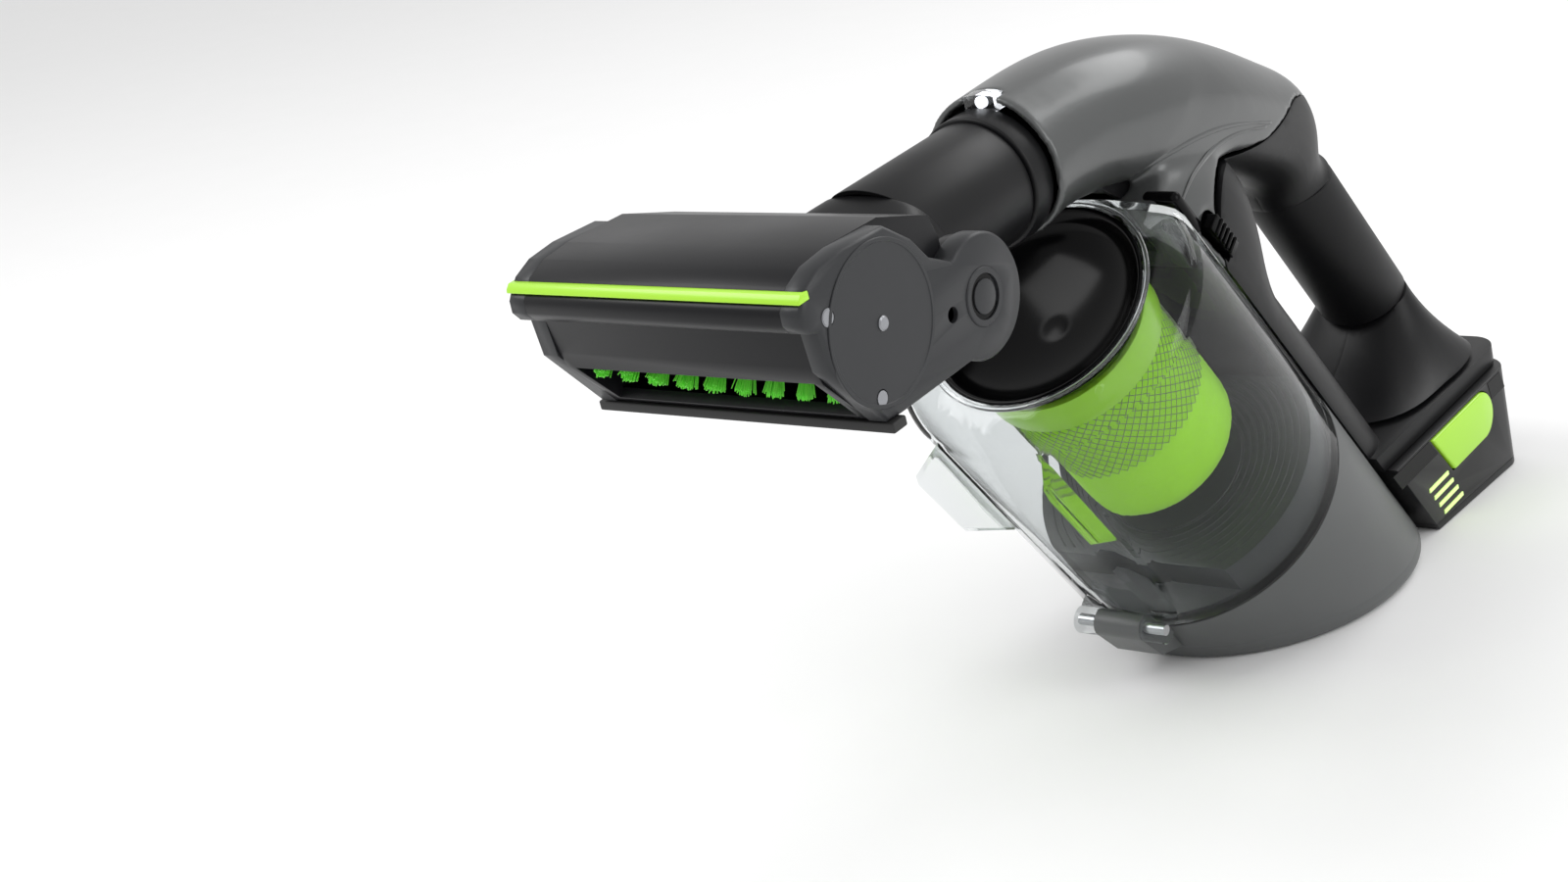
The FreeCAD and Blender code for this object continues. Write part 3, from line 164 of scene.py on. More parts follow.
# %% Moulded and metal finishes
def finish(name, colour, roughness, grain_scale=2500.0, depth=0.1, uneven=0.08, second=1.25, metal=0.0,
           coat=0.0, sheen=0.0, gleam=0.5):
    """A procedural finish; second is how much lighter the paler patches of the colour are."""
    material = bpy.data.materials.new(name)
    material.use_nodes = True
    nodes, links = material.node_tree.nodes, material.node_tree.links
    shader = nodes["Principled BSDF"]
    shader.inputs["Metallic"].default_value = metal
    shader.inputs["Coat Weight"].default_value = coat
    shader.inputs["Coat Roughness"].default_value = 0.12
    shader.inputs["Sheen Weight"].default_value = sheen
    shader.inputs["Specular IOR Level"].default_value = gleam
    surface = nodes.new("ShaderNodeGroup")
    surface.node_tree = grain
    surface.inputs["Grain Scale"].default_value = grain_scale
    surface.inputs["Depth"].default_value = depth
    surface.inputs["Roughness"].default_value = roughness
    surface.inputs["Unevenness"].default_value = uneven
    shade = nodes.new("ShaderNodeGroup")
    shade.node_tree = tone
    shade.inputs["Colour"].default_value = (*colour, 1)
    shade.inputs["Second"].default_value = (*(min(1.0, part * second) for part in colour), 1)
    links.new(shade.outputs["Colour"], shader.inputs["Base Color"])
    links.new(surface.outputs["Roughness"], shader.inputs["Roughness"])
    links.new(surface.outputs["Normal"], shader.inputs["Normal"])
    return material


LIME = (0.36, 0.70, 0.025)
graphite = finish("graphite_shell", (0.080, 0.083, 0.083), 0.33, 3500.0, 0.05, 0.06, 1.15, metal=0.45,
                  coat=0.2)
housing_grey = finish("grey_housing", (0.082, 0.086, 0.086), 0.42, 2600.0, 0.12, 0.06, 1.15, metal=0.15)
soft_black = finish("black_plastic", (0.004, 0.004, 0.0045), 0.40, 2200.0, 0.10, 0.10, 1.4, gleam=0.22)
grip_rubber = finish("grip_rubber", (0.004, 0.004, 0.0045), 0.48, 1500.0, 0.25, 0.08, 1.4, gleam=0.18)
battery_black = finish("battery_plastic", (0.006, 0.006, 0.0065), 0.36, 2600.0, 0.10, 0.08, 1.5, gleam=0.30)
gloss_black = finish("gloss_black", (0.001, 0.001, 0.0012), 0.16, 400.0, 0.01, 0.04, 1.3, gleam=0.10)
dark_grey = finish("dark_grey_plastic", (0.030, 0.032, 0.033), 0.40, 2200.0, 0.12, 0.08, 1.25, gleam=0.4)
head_black = finish("head_plastic", (0.004, 0.004, 0.005), 0.33, 2200.0, 0.10, 0.10, 1.4, gleam=0.22)
cover_grey = finish("cover_grey", (0.024, 0.025, 0.027), 0.38, 2600.0, 0.12, 0.07, 1.15, metal=0.1, gleam=0.3)
lime_plastic = finish("green_plastic", LIME, 0.32, 1800.0, 0.04, 0.05, 1.08, coat=0.2)
bristle_lime = finish("green_bristle", (0.16, 0.72, 0.06), 0.42, 2500.0, 0.05, 0.1, 1.3)
seal_rubber = finish("seal_rubber", (0.010, 0.010, 0.010), 0.62, 1800.0, 0.25, 0.1, 1.4)
belt_rubber = finish("belt_rubber", (0.013, 0.013, 0.013), 0.66, 1600.0, 0.4, 0.1, 1.4)
filter_felt = finish("filter_pad", (0.58, 0.58, 0.55), 0.95, 1800.0, 0.9, 0.05, 1.1, sheen=0.3)
board_green = finish("circuit_board", (0.015, 0.10, 0.04), 0.35, 900.0, 0.1, 0.1, 1.4)
contact_brass = finish("contact_metal", (0.72, 0.56, 0.26), 0.25, 3000.0, 0.05, 0.1, 1.1, metal=1.0)
bush_brass = finish("bush_brass", (0.58, 0.42, 0.18), 0.38, 3000.0, 0.1, 0.1, 1.1, metal=1.0)
screw_steel = finish("screw_steel", (0.50, 0.50, 0.51), 0.28, 3000.0, 0.06, 0.12, 1.1, metal=1.0)
cover_steel = finish("cover_screw_steel", (0.26, 0.265, 0.28), 0.34, 3000.0, 0.08, 0.12, 1.15, metal=0.8)
spring_steel = finish("spring_steel", (0.46, 0.46, 0.46), 0.24, 3000.0, 0.05, 0.1, 1.1, metal=1.0)
motor_steel = finish("motor_steel", (0.42, 0.42, 0.43), 0.30, 1200.0, 0.10, 0.12, 1.1, metal=1.0)
cell_sleeve = finish("cell_steel", (0.10, 0.18, 0.34), 0.30, 1500.0, 0.04, 0.08, 1.2)
fan_metal = finish("fan_metal", (0.58, 0.58, 0.60), 0.32, 1500.0, 0.08, 0.1, 1.1, metal=1.0)
hatch_metal = finish("mesh_metal", (0.20, 0.23, 0.16), 0.32, 3000.0, 0.05, 0.1, 1.2, metal=0.7)
print("finishes so far", len(bpy.data.materials))

# %% [markdown]
# The bin is clear polycarbonate: light passes, bends and gleams at the rims. Glass keeps plain
# values for transmission, and only the polish varies, where fine dust has scoured the wall. A clear
# coat gives it back its gleam. The band round the filter is solid green.


# %% Clear plastic, foam and light bars
def clear(name, colour, roughness, bend):
    material = finish(name, colour, roughness, 300.0, 0.02, 0.02, 1.02, coat=0.35)
    shader = material.node_tree.nodes["Principled BSDF"]
    shader.inputs["Coat Roughness"].default_value = 0.03
    shader.inputs["Transmission Weight"].default_value = 1.0
    shader.inputs["IOR"].default_value = bend
    return material


clear_plastic = clear("clear_plastic", (0.80, 0.82, 0.825), 0.03, 1.05)
lens_clear = clear("lens", (0.93, 0.95, 1.0), 0.04, 1.45)
green_band = finish("green_band", (0.30, 0.62, 0.03), 0.30, 900.0, 0.03, 0.05, 1.1, coat=0.3)


def glow(name, colour, strength):
    """A moulded light guide that shines a little by itself."""
    material = finish(name, colour, 0.35, 1200.0, 0.05)
    shader = material.node_tree.nodes["Principled BSDF"]
    shader.inputs["Emission Color"].default_value = (*colour, 1)
    shader.inputs["Emission Strength"].default_value = strength
    return material


light_bars = glow("light_bars", (0.62, 0.88, 0.28), 0.35)
lamp_white = glow("lamp_white", (0.95, 0.97, 1.0), 1.2)

foam = finish("green_foam", (0.27, 0.58, 0.02), 0.85, 900.0, 0.9, 0.1, 1.7, sheen=0.1)
print("all finishes", len(bpy.data.materials))

# %% [markdown]
# A few helpers turn vertices into pieces. Each finished piece is one plain mesh with its place in
# its vertices, riding on the body that it belongs to.


# %% Piece helpers
def piece(name, mesh, body, material, replaced=()):
    """Links a finished mesh as a piece of one body."""
    made = bpy.data.objects.new(name, mesh)
    bpy.context.scene.collection.objects.link(made)
    mesh.materials.clear()
    mesh.materials.append(material)
    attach(made, body)
    for node in replaced:
        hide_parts(node)
    print(name, len(mesh.polygons), "faces")
    return made


def smooth(mesh, angle=35.0):
    """Smooth shading that keeps edges sharper than an angle crisp."""
    mesh.shade_smooth()
    mesh.set_sharp_from_angle(angle=math.radians(angle))
    return mesh


def from_bmesh(name, shape, matrix=None):
    """Turns a bmesh into a mesh with its faces outwards, placed by a matrix."""
    bmesh.ops.remove_doubles(shape, verts=shape.verts, dist=1e-7)
    bmesh.ops.recalc_face_normals(shape, faces=shape.faces)
    mesh = bpy.data.meshes.new(name)
    shape.to_mesh(mesh)
    shape.free()
    if matrix is not None:
        mesh.transform(matrix)
    return mesh


def evaluated(holder):
    """The mesh of an object with its modifiers applied; the object itself is removed."""
    graph = bpy.context.evaluated_depsgraph_get()
    mesh = bpy.data.meshes.new_from_object(holder.evaluated_get(graph), depsgraph=graph)
    bpy.data.objects.remove(holder)
    return mesh


def holder_of(mesh):
    """A linked object that only carries modifiers for a moment."""
    made = bpy.data.objects.new("holder", mesh)
    bpy.context.scene.collection.objects.link(made)
    return made


def ring_spot(radius, turn, height):
    """A place in metres at a radius, a turn and a height in millimetres."""
    return Vector((radius * math.cos(turn), radius * math.sin(turn), height)) * MM


def join_rings(shape, one, two, count):
    """Faces between two rings of vertices; a ring of one vertex is a pole."""
    for step in range(count):
        after = (step + 1) % count
        corners = [one[step % len(one)], one[after % len(one)], two[after % len(two)],
                   two[step % len(two)]]
        corners = list(dict.fromkeys(corners))
        if len(corners) > 2:
            shape.faces.new(corners)


def joined(meshes):
    """Several meshes as one."""
    whole = bmesh.new()
    for mesh in meshes:
        whole.from_mesh(mesh)
    made = bpy.data.meshes.new("joined")
    whole.to_mesh(made)
    whole.free()
    return made


def lathe(profile, steps=128, ripple=None):
    """A closed shape turned round Z from (radius, height) pairs in millimetres that start and end
    on the axis or join up; ripple(point) may move each point."""
    shape = bmesh.new()
    rings = []
    for radius, height in profile:
        if radius < 1e-6:
            rings.append([shape.verts.new((0, 0, height * MM))])
            continue
        turns = [2 * math.pi * step / steps for step in range(steps)]
        rings.append([shape.verts.new(ring_spot(radius, turn, height)) for turn in turns])
    for one, two in zip(rings, rings[1:]):
        join_rings(shape, one, two, steps)
    if ripple:
        for vertex in shape.verts:
            vertex.co = ripple(vertex.co)
    return shape


# %% [markdown]
# CAD edges are knife sharp, and real mouldings are not. For each visible hard part the loose CAD
# triangles are welded in a copy, flat areas are joined, and a small bevel rounds what is left
# sharp. The copy then stands for its CAD node.


# %% Softened mouldings
def soften(node, body, material, slot, width, sharp=35.0):
    """A welded and bevelled copy of a CAD node; width is the bevel in millimetres."""
    shape = bmesh.new()
    shape.from_mesh(frame["nodes"][node].data)
    bmesh.ops.remove_doubles(shape, verts=shape.verts, dist=2e-6)
    bmesh.ops.dissolve_limit(shape, angle_limit=math.radians(0.3), verts=shape.verts, edges=shape.edges)
    mesh = bpy.data.meshes.new(node)
    shape.to_mesh(mesh)
    shape.free()
    carrier = holder_of(mesh)
    if width:
        bevel = carrier.modifiers.new("edges", "BEVEL")
        bevel.width = width * MM
        bevel.segments = 3
        bevel.limit_method = "ANGLE"
        bevel.angle_limit = math.radians(sharp)
    made = smooth(evaluated(carrier), sharp)
    return piece(node + "_moulding", made, body, material, [node])


MOULDINGS = [
    ("handle_left", "machine", soft_black, "black_plastic", 0.5),
    ("handle_right", "machine", soft_black, "black_plastic", 0.5),
    ("grip_sleeve", "machine", grip_rubber, "grip_rubber", 0.5),
    ("motor_housing", "machine", housing_grey, "grey_housing", 0.4),
    ("base_cover", "machine", housing_grey, "grey_housing", 0.4),
    ("nozzle_collar", "machine", soft_black, "black_plastic", 0.8),
    ("bulkhead", "machine", dark_grey, "dark_grey_plastic", 0.3),
    ("power_button", "power_button", lime_plastic, "green_plastic", 0.6),
    ("battery_case", "battery", battery_black, "battery_plastic", 0.8),
    ("battery_base", "battery", battery_black, "battery_plastic", 0.6),
    ("charge_lights", "battery", light_bars, "light_bars", 0.25),
    ("battery_button_left", "battery_button_left", lime_plastic, "green_plastic", 0.9),
    ("battery_button_right", "battery_button_right", lime_plastic, "green_plastic", 0.9),
    ("nozzle_tube", "neck", soft_black, "black_plastic", 0.4),
    ("neck", "neck", soft_black, "black_plastic", 0.4),
    ("head_housing", "head", head_black, "head_plastic", 0.8, 55.0),
    ("side_cover", "head", cover_grey, "cover_grey", 0.6, 55.0),
    ("end_cap", "head", cover_grey, "cover_grey", 0.6, 55.0),
    ("bumper_strip", "head", lime_plastic, "green_plastic", 0.3),
    ("head_lip", "head", seal_rubber, "seal_rubber", 0.6),
    ("roller_core", "roller", head_black, "head_plastic", 0.5),
    ("bin_shell", "bin", clear_plastic, "clear_plastic", 0.0),
    ("shroud_band", "bin", green_band, "green_clear", 0.2),
]
for row in MOULDINGS:
    soften(*row)

# %% [markdown]
# The graphite spine is one flowing form: the arch runs from the collar to the handle and swells
# into a skirt over the bin. In CAD the two meet in a hard valley. Here the shell is rebuilt as an
# even grid of small faces, and only the valley is smoothed, many times over, so it turns into
# the hollow sweep of the real shell.

# %% The flowing spine
SPINE_GRID = 1.1        # millimetres between the grid lines of the rebuilt shell
VALLEY_PASSES = 70
VALLEY_PULL = 0.6       # share of the way that a vertex moves to its neighbours' middle in a pass
VALLEY_BACK, VALLEY_FRONT = -90.0, 2.0      # its reach along the bin's axis
VALLEY_RISE, VALLEY_TALL = 76.0, 30.0       # its middle above that axis, and how far it fades
RIDGE_HALF = 8.0        # the ridge on the middle plane stays as it is
LAST_PASSES = 2         # gentle passes over the whole shell


def local(point, matrix):
    """A point of the machine in millimetres of a leaning frame."""
    return (matrix.inverted_safe() @ point) / MM


def spine_mesh():
    shape = bmesh.new()
    shape.from_mesh(frame["nodes"]["spine_shell"].data)
    bmesh.ops.remove_doubles(shape, verts=shape.verts, dist=2e-6)
    mesh = bpy.data.meshes.new("spine")
    shape.to_mesh(mesh)
    shape.free()
    carrier = holder_of(mesh)
    grid = carrier.modifiers.new("grid", "REMESH")
    grid.mode = "VOXEL"
    grid.voxel_size = SPINE_GRID * MM
    return evaluated(carrier)


def fade(distance, length):
    """0 before a stretch, rising to 1 at its end."""
    return min(1.0, max(0.0, distance / length))


def valley_share(point):
    """1 in the valley between arch and skirt, fading to 0 away from it."""
    x, t, b = local(point, bin_frame)
    inside = fade(b - VALLEY_BACK, 14.0) * fade(VALLEY_FRONT - b, 8.0)
    height = 1.0 - fade(abs(t - VALLEY_RISE), VALLEY_TALL)
    return inside * fade(abs(x) - RIDGE_HALF, 8.0) * min(1.0, 2.0 * height)


spine = spine_mesh()
work = bmesh.new()
work.from_mesh(spine)
near = [vertex for vertex in work.verts if valley_share(vertex.co) > 0.02]
shares = {vertex: valley_share(vertex.co) for vertex in near}
for turn in range(VALLEY_PASSES):
    moves = {}
    for vertex in near:
        around = [edge.other_vert(vertex).co for edge in vertex.link_edges]
        middle = sum(around, Vector()) / len(around)
        moves[vertex] = vertex.co.lerp(middle, VALLEY_PULL * shares[vertex])
    for vertex, spot in moves.items():
        vertex.co = spot
for turn in range(LAST_PASSES):
    bmesh.ops.smooth_vert(work, verts=work.verts, factor=0.5, use_axis_x=True, use_axis_y=True,
                          use_axis_z=True)
work.to_mesh(spine)
work.free()
spine.shade_smooth()
piece("spine_shell_moulding", spine, "machine", graphite, ["spine_shell"])

# %% [markdown]
# Two creases sweep from the bin's front corner up to the handle. Each is given as places above and
# along the bin's axis, and dropped sideways onto the shell, so it always lies on the surface.

# %% Creases on the flank
CREASE_THICK = 0.7
CREASE_WIDE, CREASE_PROUD = 1.6, 0.6        # the cord is flattened onto the shell
CREASE_TAIL, TAIL_SHARE = 0.9, 0.6          # where its tail starts, and how thick the tail is
OUTSIDE = 70.0                              # a start beside the machine for each drop
CREASES = [[(50.7, 1.0), (56.9, 0.4), (64.8, -3.5), (76.6, -11.8), (88.7, -22.8), (100.6, -36.6),
            (112.8, -53.2)],
           [(47.5, -11.2), (55.1, -12.3), (63.8, -15.3), (76.0, -22.2), (86.5, -28.0), (96.9, -36.5),
            (109.4, -50.9)]]
flank = BVHTree.FromPolygons([vertex.co for vertex in spine.vertices],
                             [face.vertices for face in spine.polygons])


def curve_through(points, steps=10):
    """A smooth row of places through the given ones."""
    spots = [Vector((t, b, 0.0)) for t, b in points]
    row = []
    for number in range(len(spots) - 1):
        before, after = spots[max(0, number - 1)], spots[min(len(spots) - 1, number + 2)]
        one, two = spots[number], spots[number + 1]
        row += interpolate_bezier(one, one + (two - before) / 6, two - (after - one) / 6, two, steps)[:-1]
    return row + [spots[-1]]


def crease_share(share):
    """How thick the cord is at a share of its length, against its full thickness."""
    if share >= CREASE_TAIL:
        return TAIL_SHARE
    return 0.15 + 0.85 * math.sin(math.pi * min(1.0, share * 1.1)) ** 0.5


def crease_mesh(points, side, around=8):
    """A thin tapered cord that follows the shell on one side."""
    inward = (bin_frame.to_3x3() @ Vector((-side, 0, 0))).normalized()
    path = []
    for spot in curve_through(points):
        start = bin_frame @ (Vector((side * OUTSIDE, spot.x, spot.y)) * MM)
        hit = flank.ray_cast(start, inward)[0]
        if hit is not None:
            path.append(hit)
    for turn in range(6):
        path = [path[0]] + [(a + 2 * b + c) / 4 for a, b, c in zip(path, path[1:], path[2:])] + [path[-1]]
    shape = bmesh.new()
    rings = []
    for number, spot in enumerate(path):
        along = (path[min(number + 1, len(path) - 1)] - path[max(number - 1, 0)]).normalized()
        across = along.cross(inward).normalized()
        thick = CREASE_THICK * MM * crease_share(number / (len(path) - 1))
        ring = []
        for part in range(around):
            angle = 2 * math.pi * part / around
            out = math.cos(angle) * across * CREASE_WIDE + math.sin(angle) * inward * CREASE_PROUD
            ring.append(shape.verts.new(spot + thick * out))
        rings.append(ring)
    for one, two in zip(rings, rings[1:]):
        join_rings(shape, one, two, around)
    shape.faces.new(rings[0])
    shape.faces.new(rings[-1])
    return from_bmesh("crease", shape)


crease_lines = joined([crease_mesh(points, side) for points in CREASES for side in (1, -1)])
crease_lines.shade_smooth()
piece("spine_creases", crease_lines, "machine", graphite)

# %% [markdown]
# The filter is a foam sock with a rounded end on a perforated cage. Foam is grainy all over, so
# its outline is turned on a lathe with many points, and each point is pushed a little by noise.

# %% The foam filter
FOAM_R, FOAM_ROUND, FOAM_GRAIN = 32.0, 12.0, 0.35
foam_back = -reach("filter_foam", DISC, -BIN_AXIS) / MM
foam_front = reach("filter_foam", DISC, BIN_AXIS) / MM


def foam_profile():
    points = [(0.0, foam_back)]
    points += [(FOAM_R - FOAM_ROUND - 3.0 * part, foam_back) for part in range(6, 0, -1)]
    for part in range(13):
        turn = math.radians(90.0 * part / 12)
        points.append((FOAM_R - FOAM_ROUND + FOAM_ROUND * math.sin(turn),
                       foam_back + FOAM_ROUND - FOAM_ROUND * math.cos(turn)))
    length = foam_front - foam_back - FOAM_ROUND
    points += [(FOAM_R, foam_back + FOAM_ROUND + length * part / 70) for part in range(1, 71)]
    return points + [(0.0, foam_front)]


def foam_ripple(point):
    out = Vector((point.x, point.y, 0.0))
    if out.length < 0.002:
        return point
    bumps = noise.noise(point * 900.0) + 0.6 * noise.noise(point * 2100.0)
    return point + out.normalized() * (bumps * FOAM_GRAIN * MM)


foam_mesh = from_bmesh("foam", lathe(foam_profile(), 220, foam_ripple), bin_frame)
foam_mesh.shade_smooth()
piece("filter_foam_sock", foam_mesh, "bin", foam, ["filter_foam"])

# %% [markdown]
# The bowl in front of the bin is a single dark moulding with a soft inner curve. A lathe profile
# that follows an arc gives a cleaner reflection than the few flats of the CAD cup. A thin clear
# bead runs round it, where the bin's wall turns over the edge.

# %% The front bowl and its bead
BOWL_R = 39.9
BOWL_DEEP = 15.0
BOWL_WALL = 2.4


def bowl_arc(radius, depth, parts):
    """Points along the bowl's curve, one for each part of six degrees from its middle."""
    turns = [math.radians(6.0 * part) for part in parts]
    return [(radius * math.sin(turn), -depth * math.cos(turn) - 0.8) for turn in turns]


def bowl_profile():
    points = [(0.0, -BOWL_DEEP)] + bowl_arc(BOWL_R * 0.92, BOWL_DEEP, range(1, 15))
    points += [(BOWL_R - 2.4, -1.2), (BOWL_R - 1.8, -0.2), (BOWL_R - 1.0, 0.0), (BOWL_R - 0.2, -0.4),
               (BOWL_R, -1.2), (BOWL_R, -4.0), (BOWL_R - 1.2, -5.4)]
    points += bowl_arc(BOWL_R * 0.90, BOWL_DEEP + BOWL_WALL, range(11, 0, -1))
    return points + [(0.0, -BOWL_DEEP - BOWL_WALL)]


bowl_mesh = smooth(from_bmesh("bowl", lathe(bowl_profile(), 160), bin_frame), 50.0)
piece("filter_cup_bowl", bowl_mesh, "bin", gloss_black, ["filter_cup"])


def bead(radius, height, thick, steps=128, around=12):
    """A closed round ring about the axis of the frame."""
    shape = bmesh.new()
    rings = []
    angles = [2 * math.pi * part / around for part in range(around)]
    for step in range(steps):
        turn = 2 * math.pi * step / steps
        rings.append([shape.verts.new(ring_spot(radius + thick * math.cos(angle), turn,
                                                height + thick * math.sin(angle))) for angle in angles])
    for one, two in zip(rings, rings[1:] + rings[:1]):
        join_rings(shape, one, two, around)
    return shape


BEAD_R, BEAD_LOW, BEAD_THICK = 41.6, -0.2, 0.8
bead_mesh = from_bmesh("bead", bead(BEAD_R, BEAD_LOW, BEAD_THICK), bin_frame)
bead_mesh.shade_smooth()
rim_clear = clear("rim_clear", (0.94, 0.95, 0.96), 0.02, 1.5)
piece("bin_rim_bead", bead_mesh, "bin", rim_clear)

# %% [markdown]
# What repeats is made by Geometry Nodes: one item is described once, and the tree places it many
# times. Each tree has named inputs, ends in Realize Instances and Set Material, and is turned
# into a plain mesh straight away.


# %% Geometry Nodes helpers
def start_tree(name, sizes):
    """A geometry tree with one float or integer input for each named size."""
    tree = bpy.data.node_groups.new(name, "GeometryNodeTree")
    tree.interface.new_socket("Geometry", in_out="INPUT", socket_type="NodeSocketGeometry")
    for label, value in sizes.items():
        kind = "NodeSocketInt" if isinstance(value, int) else "NodeSocketFloat"
        tree.interface.new_socket(label, in_out="INPUT", socket_type=kind).default_value = value
    tree.interface.new_socket("Geometry", in_out="OUTPUT", socket_type="NodeSocketGeometry")
    return tree, tree.nodes.new("NodeGroupInput"), tree.nodes.new("NodeGroupOutput")


def node(tree, kind, operation=None, **sockets):
    """Adds a node; each keyword names an input socket, with _ for a space, and gives a value or a link."""
    made = tree.nodes.new(kind)
    if operation:
        made.operation = operation
    for label, value in sockets.items():
        key = int(label[1:]) if label[0] == "i" and label[1:].isdigit() else label.replace("_", " ")
        if isinstance(value, bpy.types.NodeSocket):
            tree.links.new(value, made.inputs[key])
        else:
            made.inputs[key].default_value = value
    return made


def maths(tree, operation, one, two=0.0):
    return node(tree, "ShaderNodeMath", operation, i0=one, i1=two).outputs[0]


def close_tree(tree, shape, material, leave):
    """Ends a tree in Realize Instances and Set Material."""
    real = node(tree, "GeometryNodeRealizeInstances", Geometry=shape)
    named = node(tree, "GeometryNodeSetMaterial", Geometry=real.outputs[0], Material=material)
    tree.links.new(named.outputs[0], leave.inputs[0])


def grow(tree, values, base, matrix):
    """Runs a tree on a base mesh with the given sizes and returns the placed plain mesh."""
    carrier = holder_of(base)
    modifier = carrier.modifiers.new(tree.name, "NODES")
    modifier.node_group = tree
    for item in tree.interface.items_tree:
        if item.in_out == "INPUT" and item.name in values:
            modifier[item.identifier] = values[item.name]
    made = evaluated(carrier)
    made.transform(matrix)
    return made


def single_point():
    mesh = bpy.data.meshes.new("point")
    mesh.from_pydata([(0, 0, 0)], [], [])
    return mesh


# %% [markdown]
# The shroud is a fine metal mesh. Two sets of thin wires wind round the filter in opposite
# directions, and where they cross they leave the diamond holes that the air goes through.

# %% The shroud mesh
MESH_SIZES = {"Radius": 0.0329, "Length": 0.033, "Wires": 60, "Twist": 0.8, "Wire": 0.00014}
tree, entry, leave = start_tree("crossed_wires", MESH_SIZES)
line = node(tree, "GeometryNodeCurvePrimitiveLine")
ends = node(tree, "ShaderNodeCombineXYZ", Z=entry.outputs["Length"])
tree.links.new(ends.outputs[0], line.inputs["End"])
cut = node(tree, "GeometryNodeResampleCurve", Curve=line.outputs[0], Count=16)
share = node(tree, "GeometryNodeSplineParameter").outputs["Factor"]
height = maths(tree, "MULTIPLY", share, entry.outputs["Length"])
both = node(tree, "GeometryNodeJoinGeometry")
for side in (1.0, -1.0):
    angle = maths(tree, "MULTIPLY", maths(tree, "MULTIPLY", share, entry.outputs["Twist"]), side)
    across = maths(tree, "MULTIPLY", maths(tree, "COSINE", angle), entry.outputs["Radius"])
    along = maths(tree, "MULTIPLY", maths(tree, "SINE", angle), entry.outputs["Radius"])
    spot = node(tree, "ShaderNodeCombineXYZ", X=across, Y=along, Z=height)
    wound = node(tree, "GeometryNodeSetPosition", Geometry=cut.outputs[0], Position=spot.outputs[0])
    tree.links.new(wound.outputs[0], both.inputs[0])
dots = node(tree, "GeometryNodePoints", Count=entry.outputs["Wires"])
number = node(tree, "GeometryNodeInputIndex").outputs[0]
turn = maths(tree, "DIVIDE", maths(tree, "MULTIPLY", number, 2 * math.pi), entry.outputs["Wires"])
spin = node(tree, "ShaderNodeCombineXYZ", Z=turn)
copies = node(tree, "GeometryNodeInstanceOnPoints", Points=dots.outputs[0], Instance=both.outputs[0],
              Rotation=spin.outputs[0])
loose = node(tree, "GeometryNodeRealizeInstances", Geometry=copies.outputs[0])
section = node(tree, "GeometryNodeCurvePrimitiveCircle", Resolution=4, Radius=entry.outputs["Wire"])
wires = node(tree, "GeometryNodeCurveToMesh", Curve=loose.outputs[0], Profile_Curve=section.outputs[0])
close_tree(tree, wires.outputs[0], hatch_metal, leave)

mesh_back = -reach("shroud_mesh", DISC, -BIN_AXIS) / MM
mesh_start = bin_frame @ Matrix.Translation((0, 0, mesh_back * MM))
hatch = grow(tree, MESH_SIZES, single_point(), mesh_start)
hatch.shade_smooth()
piece("shroud_mesh_wires", hatch, "bin", hatch_metal, ["shroud_mesh"])

# %% [markdown]
# The roller carries tufts of nylon in two helical rows. Each tuft leaves the core as a tight
# bundle and flares at its tips, because the filaments push each other apart.

# %% The bristle tufts
TUFT_SIZES = {"Rows": 2, "Tufts": 9, "Filaments": 90, "Core": 0.0118, "Length": 0.0103, "Spread": 0.15,
              "Foot": 0.0010, "Half": 0.0402, "Start": 230.0, "Twist": 35.0, "Thick": 0.00021, "Seed": 7}
tree, entry, leave = start_tree("flared_tufts", TUFT_SIZES)
per_row = maths(tree, "MULTIPLY", entry.outputs["Tufts"], entry.outputs["Filaments"])
total = maths(tree, "MULTIPLY", per_row, entry.outputs["Rows"])
dots = node(tree, "GeometryNodePoints", Count=total)
number = node(tree, "GeometryNodeInputIndex").outputs[0]
row = maths(tree, "FLOOR", maths(tree, "DIVIDE", number, per_row))
tuft = maths(tree, "FLOOR", maths(tree, "DIVIDE", maths(tree, "FLOORED_MODULO", number, per_row),
                                  entry.outputs["Filaments"]))
share = maths(tree, "DIVIDE", tuft, maths(tree, "SUBTRACT", entry.outputs["Tufts"], 1.0))
centred_share = maths(tree, "SUBTRACT", share, 0.5)
turned = maths(tree, "MULTIPLY", centred_share, entry.outputs["Twist"])
degrees = maths(tree, "ADD", entry.outputs["Start"], turned)
row_turn = maths(tree, "MULTIPLY", row, maths(tree, "DIVIDE", 360.0, entry.outputs["Rows"]))
degrees = maths(tree, "ADD", degrees, row_turn)
angle = maths(tree, "RADIANS", degrees)
out = node(tree, "ShaderNodeCombineXYZ", X=maths(tree, "COSINE", angle),
           Y=maths(tree, "SINE", angle)).outputs[0]
wander = node(tree, "FunctionNodeRandomValue", Seed=entry.outputs["Seed"])
wander.data_type = "FLOAT_VECTOR"
wander.inputs[0].default_value = (-1, -1, -1)
stray = wander.outputs[0]
foot_shift = node(tree, "ShaderNodeVectorMath", "SCALE", i0=stray, Scale=entry.outputs["Foot"]).outputs[0]
along = maths(tree, "MULTIPLY", maths(tree, "MULTIPLY", centred_share, 2.0), entry.outputs["Half"])
centre = node(tree, "ShaderNodeVectorMath", "SCALE", i0=out, Scale=entry.outputs["Core"]).outputs[0]
lengthways = node(tree, "ShaderNodeCombineXYZ", Z=along).outputs[0]
spot = node(tree, "ShaderNodeVectorMath", "ADD", i0=centre, i1=lengthways).outputs[0]
spot = node(tree, "ShaderNodeVectorMath", "ADD", i0=spot, i1=foot_shift).outputs[0]
placed = node(tree, "GeometryNodeSetPosition", Geometry=dots.outputs[0], Position=spot)
